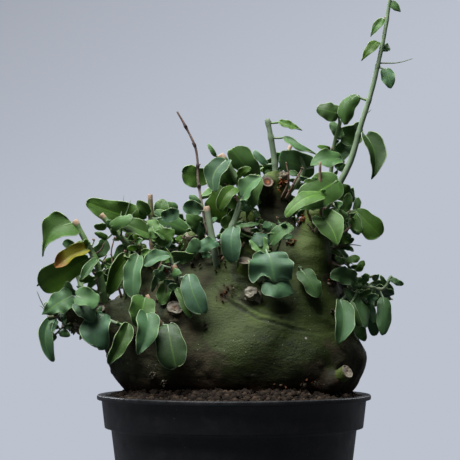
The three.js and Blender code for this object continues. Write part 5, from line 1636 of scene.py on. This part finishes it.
def caudex_skin(board, own):
    green = own.caudex_colour
    bark, pale, scar, cut, ring, crease_shade, aged, core, rust = map(board.value, CAUDEX_VALUES)
    broad, wide, grain = (board.effect("Mottle", size=size) for size in (0.028, 0.06, 0.0018))
    small = board.effect("Mottle", (1, 1, 3.5), size=0.007)
    blotch = board.step(board.effect("Mottle", (1, 1, 2), size=0.014), 0.2, 0.75)
    specks, moats, grains = (
        board.effect("Specks", spacing=spacing, radius=radius, share=0.4)
        for spacing, radius in ((0.0045, 0.0005), (0.012, 0.0017), (0.012, 0.0011))
    )
    brown = board.layers(
        (0.012, 0.012, 0.006),
        ((0.042, 0.032, 0.016), broad, 1),
        ((0.1, 0.08, 0.048), small, 0.35),
        ((0.12, 0.04, 0.032), board.times(board.level(0.168, 0.152), small), 0.9),
    )
    rings = board.step(board.math("SINE", board.times(ring, 38.0)), 0.0, 0.9)
    wood = board.layers(
        (0.25, 0.17, 0.11),
        ((0.3, 0.29, 0.23), aged, 1),
        ((0.1, 0.075, 0.05), grain, 0.6),
        ((0.1, 0.065, 0.04), rings, 0.3),
        ((0.07, 0.032, 0.02), board.times(board.step(ring, 0.78, 0.62), core), 1),
        ((0.26, 0.09, 0.03), board.times(board.step(ring, 0.42, 0.25), core), 1),
        ((0.12, 0.1, 0.07), board.step(ring, 0.9, 1.0), 1),
    )
    flaky = board.step(board.times(scar, board.plus(small, 0.55)), 0.3, 0.75)
    base = board.layers(
        dim(green, 0.5),
        (green, broad, 1),
        (dim(green, 0.4), wide, 0.5),
        (dim(green, 0.36), blotch, 0.65),
        # Painted shade: black laid over the skin, darker towards the bottom
        ((0, 0, 0), board.level(0.152, 0.222, 0.7, 0.0), 1),
        # Painted highlight: paler yellow-green on the upper and up-facing skin, and on the paler
        # patches
        (dim(green, (2.5, 2.35, 1.9)), pale, 1),
        (dim(green, (1.85, 1.55, 1.1)), small, 0.4),
        # Brown bark, which is also the colour of the painted shade in the hollows and the shaded
        # patches
        (brown, bark, 1),
        # Near black painted shade in the hollows, in the wrinkles and round the feet of the stubs
        ((0.007, 0.009, 0.004), crease_shade, 0.85),
        ((0.015, 0.02, 0.01), moats, 0.6),
        ((0.32, 0.33, 0.25), specks, 0.5),
        ((0.36, 0.36, 0.3), grains, 0.7),
        (board.mix(grain, (0.3, 0.28, 0.2), (0.11, 0.085, 0.055)), flaky, 1),
        (board.mix(grain, (0.34, 0.085, 0.02), (0.13, 0.035, 0.012)), rust, 1),
        (wood, board.step(cut, 0.2, 0.5), 1),
    )
    relief = board.effect("Relief", size=0.0014, lines=0.3)
    height = board.plus(relief, board.times(specks, 0.35))
    return {
        "Base Color": base, "Roughness": board.plus(0.58, board.times(bark, 0.3)),
        "Specular IOR Level": 0.22, "height": (height, 0.0009),
    }


def leaf_skin(board, own):
    green = own.leaf_colour
    across, along = board.math("ABSOLUTE", board.value("across")), board.value("along")
    values = map(board.value, ("tone", "yellow", "under", "woody", "rib"))
    tone, yellow, under, light, veined = values
    mottle = board.effect("Mottle", size=0.009)
    shift = board.math("SUBTRACT", board.times(along, 5.5), board.times(across, 1.1))
    fold = board.math("ABSOLUTE", board.math("SUBTRACT", board.math("FRACT", shift), 0.5))
    side_veins = board.times(board.step(fold, 0.44, 0.5), board.step(across, 1.0, 0.5))
    veins = board.math("MAXIMUM", board.step(across, 0.085, 0.02), board.times(side_veins, 0.3))
    rim = board.math("MAXIMUM", board.step(across, 0.94, 0.99), board.step(along, 0.98, 0.997))
    aged = board.mix(board.step(along, 0.55, 0.95), (0.16, 0.15, 0.008), (0.2, 0.09, 0.015))
    base = board.layers(
        green,
        (own.bloom_colour, tone, 1),
        (dim(green, 0.6), mottle, 0.35),
        # Painted light and shade: lighter and darker copies of the green, by each leaf's light
        # value
        ((0.11, 0.22, 0.07), light, 1),
        (dim(green, 0.25), board.step(light, 0, -1, 0, 0.8), 1),
        (tuple(c * 2.0 + 0.03 for c in green), board.times(veins, veined), 1),
        ((0.08, 0.15, 0.08), under, 0.3),
        ((0.31, 0.4, 0.23), rim, 0.85),
        (aged, yellow, 1),
    )
    return {
        "Base Color": base, "Roughness": board.step(mottle, 0, 1, 0.5, 0.64),
        "Specular IOR Level": 0.3, "Subsurface Weight": 0.4, "Subsurface Scale": 0.001,
        "Subsurface Radius": (0.7, 1.0, 0.3),
        "height": (board.effect("Relief", size=0.0009, lines=0.0), 0.0002),
    }


def stem_skin(board, own):
    woody, cut, tone, dark = map(board.value, ("woody", "cut", "tone", "yellow"))
    mottle = board.effect("Mottle", (1, 1, 0.35), size=0.003)
    brown = board.layers(
        (0.12, 0.065, 0.045), ((0.27, 0.18, 0.12), mottle, 1), ((0.05, 0.028, 0.02), dark, 1),
    )
    base = board.layers(
        dim(own.leaf_colour, 1.35),
        (own.stem_colour, tone, 1),
        (dim(own.stem_colour, 0.6), mottle, 0.4),
        (brown, board.step(board.plus(woody, board.times(mottle, 0.35)), 0.35, 0.95), 1),
        ((0.34, 0.33, 0.26), board.effect("Specks", spacing=0.0022, radius=0.0004, share=0.4), 0.5),
        (board.mix(mottle, (0.36, 0.22, 0.13), (0.5, 0.4, 0.29)), board.step(cut, 0.3, 0.7), 1),
    )
    return {
        "Base Color": base, "Roughness": board.plus(0.5, board.times(woody, 0.3)),
        "height": (board.effect("Relief", size=0.0008, lines=0.3), 0.0003),
    }


def dead_wood(board, own):
    mottle = board.effect("Mottle", (1, 1, 0.2), size=0.003)
    base = board.layers(
        (0.1, 0.055, 0.04),
        ((0.26, 0.19, 0.15), mottle, 1),
        (board.mix(mottle, (0.22, 0.15, 0.12), (0.42, 0.35, 0.28)), board.level(0.31, 0.28), 1),
        ((0.03, 0.016, 0.012), board.value("cut"), 1),
    )
    relief = board.effect("Relief", size=0.0006, lines=0.0)
    return {"Base Color": base, "Roughness": 0.8, "height": (relief, 0.0003)}


def floor_paint(board, own):
    pale = dim(own.backdrop_colour, 0.6)
    paint = board.mix(board.effect("Mottle", size=0.4), pale, dim(pale, 0.96))
    seen = board.add("LightPath", {}).outputs["Is Camera Ray"]
    return {"Base Color": board.mix(seen, dim(pale, 0.15), paint), "Roughness": 0.9}


# Settings, operators and panel


def distance_setting(name, description, default):
    return bpy.props.FloatProperty(
        name=name, description=description, default=default,
        subtype="DISTANCE", unit="LENGTH", precision=4,
    )


def colour_setting(name, description, default):
    return bpy.props.FloatVectorProperty(
        name=name, description=description, default=default, subtype="COLOR", min=0, max=1
    )


# The rounded lip stands a little higher than the flat rim of the solid
LIP_OVER_SOLID = 0.0018
POT_HEIGHT = float(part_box("pot")[1][2]) + LIP_OVER_SOLID


class AdeniaSettings(bpy.types.PropertyGroup):
    """Sizes and colours of the potted plant"""

    rim_radius: distance_setting("Rim radius", "Radius of the pot over its lip", 0.09)
    pot_height: distance_setting("Pot height", "Height of the pot", POT_HEIGHT)
    skin_cell: distance_setting("Skin cell", "Grid that the caudex is meshed on", 0.0025)
    blade_thickness: distance_setting("Blade thickness", "Leaf thickness at its middle", 0.0009)
    grain_size: distance_setting("Grain size", "Width of a middling grain of grit", 0.0032)
    grain_count: bpy.props.IntProperty(
        name="Grains", description="How many grains lie on top", default=2600, min=100)
    pot_colour: colour_setting("Pot", "Black of the pot", (0.006, 0.0065, 0.008))
    grit_colour: colour_setting("Grit", "Brown of a middling grain", (0.026, 0.0175, 0.0115))
    caudex_colour: colour_setting("Caudex", "Green of the caudex", (0.027, 0.0445, 0.0085))
    leaf_colour: colour_setting("Leaf", "Fresh green of the leaves", (0.056, 0.138, 0.005))
    bloom_colour: colour_setting("Leaf bloom", "Blue-green of waxy leaves", (0.068, 0.155, 0.092))
    stem_colour: colour_setting("Stem", "Grey-green of the stems", (0.24, 0.32, 0.22))
    backdrop_colour: colour_setting("Backdrop", "Floor and background", (0.503, 0.539, 0.617))


def settings():
    return bpy.context.scene.adenia


def finish_piece(piece, node):
    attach(piece, "root")
    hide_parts(node)


POT_SIDES = 144
POT_STEP = 9
SHARP_EDGE = math.radians(35)
DRAIN_HOLES, DRAIN_CIRCLE, DRAIN_RADIUS, DRAIN_SIDES = 8, 46, 5.5, 32


class ADENIA_OT_pot(bpy.types.Operator):
    """Turns the pot from its section and cuts the drain holes"""

    bl_idname = "adenia.pot"
    bl_label = "Pot"

    def execute(self, context):
        profile = pot_profile(settings())
        rows = []
        for (r0, z0), (r1, z1) in zip(profile, profile[1:]):
            parts = max(1, round(math.hypot(r1 - r0, z1 - z0) / POT_STEP))
            rows += [(r0 + (r1 - r0) * k / parts, z0 + (z1 - z0) * k / parts) for k in range(parts)]
        rows = [row for row in rows if row[0] > 1]
        stock = Stock()
        stock.add_rings([flat_ring(radius, z, POT_SIDES) for radius, z in rows])
        pot = stock.piece("nursery_pot", [new_material("Black plastic", plastic)])
        cutter = Stock()
        for number in range(DRAIN_HOLES):
            angle = (number + 0.5) * 2 * math.pi / DRAIN_HOLES
            x, y = DRAIN_CIRCLE * math.cos(angle), DRAIN_CIRCLE * math.sin(angle)
            add_rod(cutter, [[x, y, z, DRAIN_RADIUS] for z in (-2, 5)], DRAIN_SIDES, 0)
        tool = cutter.piece("drain holes", [])
        cut = pot.modifiers.new("Drain holes", "BOOLEAN")
        cut.object, cut.operation, cut.solver = tool, "DIFFERENCE", "EXACT"
        evaluated = pot.evaluated_get(context.evaluated_depsgraph_get())
        mesh = bpy.data.meshes.new_from_object(evaluated)
        pot.modifiers.clear()
        pot.data = mesh
        bpy.data.objects.remove(tool)
        mesh.set_sharp_from_angle(angle=SHARP_EDGE)
        finish_piece(pot, "pot")
        return {"FINISHED"}


class ADENIA_OT_grit(bpy.types.Operator):
    """Lays the ground of the grit and heaps its grains"""

    bl_idname = "adenia.grit"
    bl_label = "Grit"

    def execute(self, context):
        stock = Stock("tone")
        rings = [flat_ring(radius, z, GROUND_SIDES) for radius, z in GRIT_SIDE]
        for radius in GROUND_RINGS:
            ring = flat_ring(radius, soil_level(radius) - 1.2, GROUND_SIDES)
            ring[:, 2] += 0.9 * noise(ring, 3.4, 21) + 0.5 * noise(ring, 1.7, 22)
            rings.append(ring)
        stock.add_rings(rings, tone=0.22 + 0.18 * noise(np.vstack(rings), 2.5, 23))
        draw, ball = draws(GRIT_SEED), stone_shape()
        middling = settings().grain_size / METRE
        placed = 0
        for _ in range(TRIES_FOR_GRAIN * settings().grain_count):
            if placed == settings().grain_count:
                break
            radius = INNER_TOP * math.sqrt(draw())
            angle = 2 * math.pi * draw()
            size = middling * (0.4 + 1.25 * draw() ** 1.8)
            radius = min(radius, INNER_TOP - 0.6 - size / 2)
            x, y = radius * math.cos(angle), radius * math.sin(angle)
            level = float(soil_level(radius)) - 0.5 + 0.5 * (draw() - 0.5)
            gap = skin_distance(np.array([[x, y, level]]))[0]
            if gap < -1.5:
                continue
            heap = 1.3 * math.exp(-max(gap, 0) / 4) * draw()
            add_stone(stock, ball, np.array((x, y, level + heap)), size, draw, draw())
            placed += 1
        ground = stock.piece("grit_bed", [new_material("Brown grit", grit)])
        finish_piece(ground, "soil")
        return {"FINISHED"}


class ADENIA_OT_caudex(bpy.types.Operator):
    """Sculpts the swollen caudex with its wrinkles, bark, scars and cut limbs"""

    bl_idname = "adenia.caudex"
    bl_label = "Caudex"

    def execute(self, context):
        points, normals, faces = fine_skin(settings().skin_cell / METRE)
        height, values = sculpt(points, normals)
        stock = Stock(*CAUDEX_VALUES)
        stock.add(points + normals * height[:, None], faces, 0, **values)
        for number, stub in enumerate(STUBS):
            add_stub(stock, stub, number)
        for number, (centre, radius) in enumerate(FLAKY_SCARS):
            add_flakes(stock, centre, radius * 0.8, int(radius * 5), number, SCAR_TINTS)
        for number, (centre, radius) in enumerate(RUSTY):
            add_flakes(stock, centre, radius, RUSTY_BITS, RUSTY_SEED + number, RUST_TINTS)
        for number, (centre, radius, count) in enumerate(LITTER):
            add_flakes(stock, centre, radius, count, LITTER_SEED + number, LITTER_TINTS)
        caudex = stock.piece("caudex_body", [new_material("Caudex skin", caudex_skin)])
        finish_piece(caudex, "caudex")
        return {"FINISHED"}


class ADENIA_OT_shoots(bpy.types.Operator):
    """Grows the leafy shoots where the solids have them"""

    bl_idname = "adenia.shoots"
    bl_label = "Shoots"

    def execute(self, context):
        pair = [new_material("Leaf skin", leaf_skin), new_material("Stem skin", stem_skin)]
        for number, (name, plan) in enumerate(plan_shoots().items()):
            finish_piece(add_shoot(name, plan, pair, number), "shoot_" + name)
        return {"FINISHED"}


class ADENIA_OT_dry_twig(bpy.types.Operator):
    """Makes the dry twig with its knots"""

    bl_idname = "adenia.dry_twig"
    bl_label = "Dry twig"

    def execute(self, context):
        path = Curve(DRY_TWIG).path(TWIG_RADII, 0.9)
        knots = np.array(TWIG_KNOTS)
        nearest = np.abs(path[:, 2, None] - knots[None]).min(1)
        path[:, 3] *= 1 + 0.75 * bump(nearest, 1.4) + 0.12 * noise(path[:, :3], 3, 31)
        path[:, :3] += 0.25 * wobble(path, 7, 32)
        stock = Stock("cut")
        rings = rod_points(path, TWIG_SIDES, 0.12, 35)
        dark = np.repeat(bump(nearest, 2.2), TWIG_SIDES)
        stock.add(rings, tube_faces(len(path), TWIG_SIDES), cut=dark)
        for number, z in enumerate(knots):
            at = path[np.argmin(np.abs(path[:, 2] - z)), :3]
            out = unit((math.cos(number * 2.2), math.sin(number * 2.2) - 0.4, 0.7))
            spur = [[*at, 0.6], [*(at + out * 1.6), 0.5], [*(at + out * 2.4), 0.15]]
            add_rod(stock, spur, 6, 0, cut=0.9)
        twig = stock.piece("dry_twig_fine", [new_material("Dead wood", dead_wood)])
        finish_piece(twig, "dry_twig")
        return {"FINISHED"}


FLOOR_RADIUS, FLOOR_SIDES = 1.3, 96
# Share of the backdrop's light that comes from the front and the back, and from below and above
BACK_GLOW = (0.03, 0.3)
TOP_GLOW = (0.0, 0.12)
# Name, place, size, watts and tint
LAMPS = (
    ("Key", (-0.4, -0.36, 1.62), 1.0, 55, (0.99, 0.99, 1.0)),
    ("Back", (-0.8, 1.1, 1.2), 0.8, 18, (0.95, 0.98, 1.0)),
    ("Side", (1.0, 1.3, 1.0), 0.8, 6, (0.95, 0.98, 1.0)),
)
LAMP_AIM = (0, 0, 0.22)
# A long lens level with the caudex, as the rim of the pot is seen in the photograph
CAMERA_PLACE = (-0.0026, -2.1, 0.2597)
CAMERA_LENS = 250.1


def add_to_scene(name, data, place=(0, 0, 0)):
    thing = bpy.data.objects.new(name, data)
    thing.location = place
    bpy.context.scene.collection.objects.link(thing)
    return thing


def light_backdrop(world, pale):
    """A pale wall for the camera, and soft light from above and behind."""
    board = Board(world.node_tree)
    sky = board.add("TexCoord", {}).outputs["Generated"]
    way = board.add("SeparateXYZ", {0: sky}).outputs
    # The wall seen by the camera is darker towards its upper left: painted shade on the backdrop
    slant = board.math("SUBTRACT", way[2], board.times(way[0], 0.6))
    corner = board.times(board.step(slant, 0.0, 0.2), board.step(way[1], 0.95, 0.99))
    wall = board.mix(corner, pale, dim(pale, 0.57))
    glow = board.plus(
        board.step(way[1], -0.3, 1.0, *BACK_GLOW), board.step(way[2], 0.0, 1.0, *TOP_GLOW)
    )
    seen = board.add("LightPath", {}).outputs["Is Camera Ray"]
    light = board.mix(seen, board.mix(glow, (0, 0, 0), pale), wall)
    board.feed(world.node_tree.nodes["Background"].inputs[0], light)


class ADENIA_OT_stage(bpy.types.Operator):
    """Sets up the floor, the light and the camera"""

    bl_idname = "adenia.stage"
    bl_label = "Stage"

    def execute(self, context):
        scene = context.scene
        shape = bmesh.new()
        bmesh.ops.create_circle(
            shape, cap_ends=True, radius=FLOOR_RADIUS, segments=FLOOR_SIDES
        )
        mesh = bpy.data.meshes.new("floor")
        shape.to_mesh(mesh)
        shape.free()
        mesh.materials.append(new_material("Pale floor", floor_paint))
        add_to_scene("floor", mesh)
        for name, place, size, watts, tint in LAMPS:
            lamp = bpy.data.lights.new(name, "AREA")
            lamp.shape, lamp.size, lamp.energy, lamp.color = "DISK", size, watts, tint
            aim = Vector(LAMP_AIM) - Vector(place)
            add_to_scene(name, lamp, place).rotation_euler = aim.to_track_quat("-Z", "Y").to_euler()
        scene.world = bpy.data.worlds.new("Studio")
        scene.world.use_nodes = True
        light_backdrop(scene.world, settings().backdrop_colour)
        view = bpy.data.cameras.new("Camera")
        view.lens, view.sensor_width = CAMERA_LENS, 36.0
        view.clip_start, view.clip_end = 0.05, 50
        scene.camera = add_to_scene("Camera", view, CAMERA_PLACE)
        scene.camera.rotation_euler = (math.pi / 2, 0, 0)
        scene.view_settings.view_transform = "Standard"
        return {"FINISHED"}


class ADENIA_PT_panel(bpy.types.Panel):
    """Lists the settings and the steps that build the plant"""

    bl_label = "Potted Adenia"
    bl_idname = "ADENIA_PT_panel"
    bl_space_type = "VIEW_3D"
    bl_region_type = "UI"
    bl_category = "Adenia"

    def draw(self, context):
        for name in AdeniaSettings.__annotations__:
            self.layout.prop(settings(), name)
        for step in OPERATORS:
            self.layout.operator(step.bl_idname)


OPERATORS = (
    ADENIA_OT_stage, ADENIA_OT_pot, ADENIA_OT_grit, ADENIA_OT_caudex, ADENIA_OT_shoots,
    ADENIA_OT_dry_twig,
)
CLASSES = (AdeniaSettings, *OPERATORS, ADENIA_PT_panel)


def register():
    for kind in CLASSES:
        bpy.utils.register_class(kind)
    bpy.types.Scene.adenia = bpy.props.PointerProperty(type=AdeniaSettings)


def unregister():
    del bpy.types.Scene.adenia
    for kind in reversed(CLASSES):
        bpy.utils.unregister_class(kind)


def main():
    register()
    for step in OPERATORS:
        group, name = step.bl_idname.split(".")
        getattr(getattr(bpy.ops, group), name)()


if __name__ == "__main__":
    main()
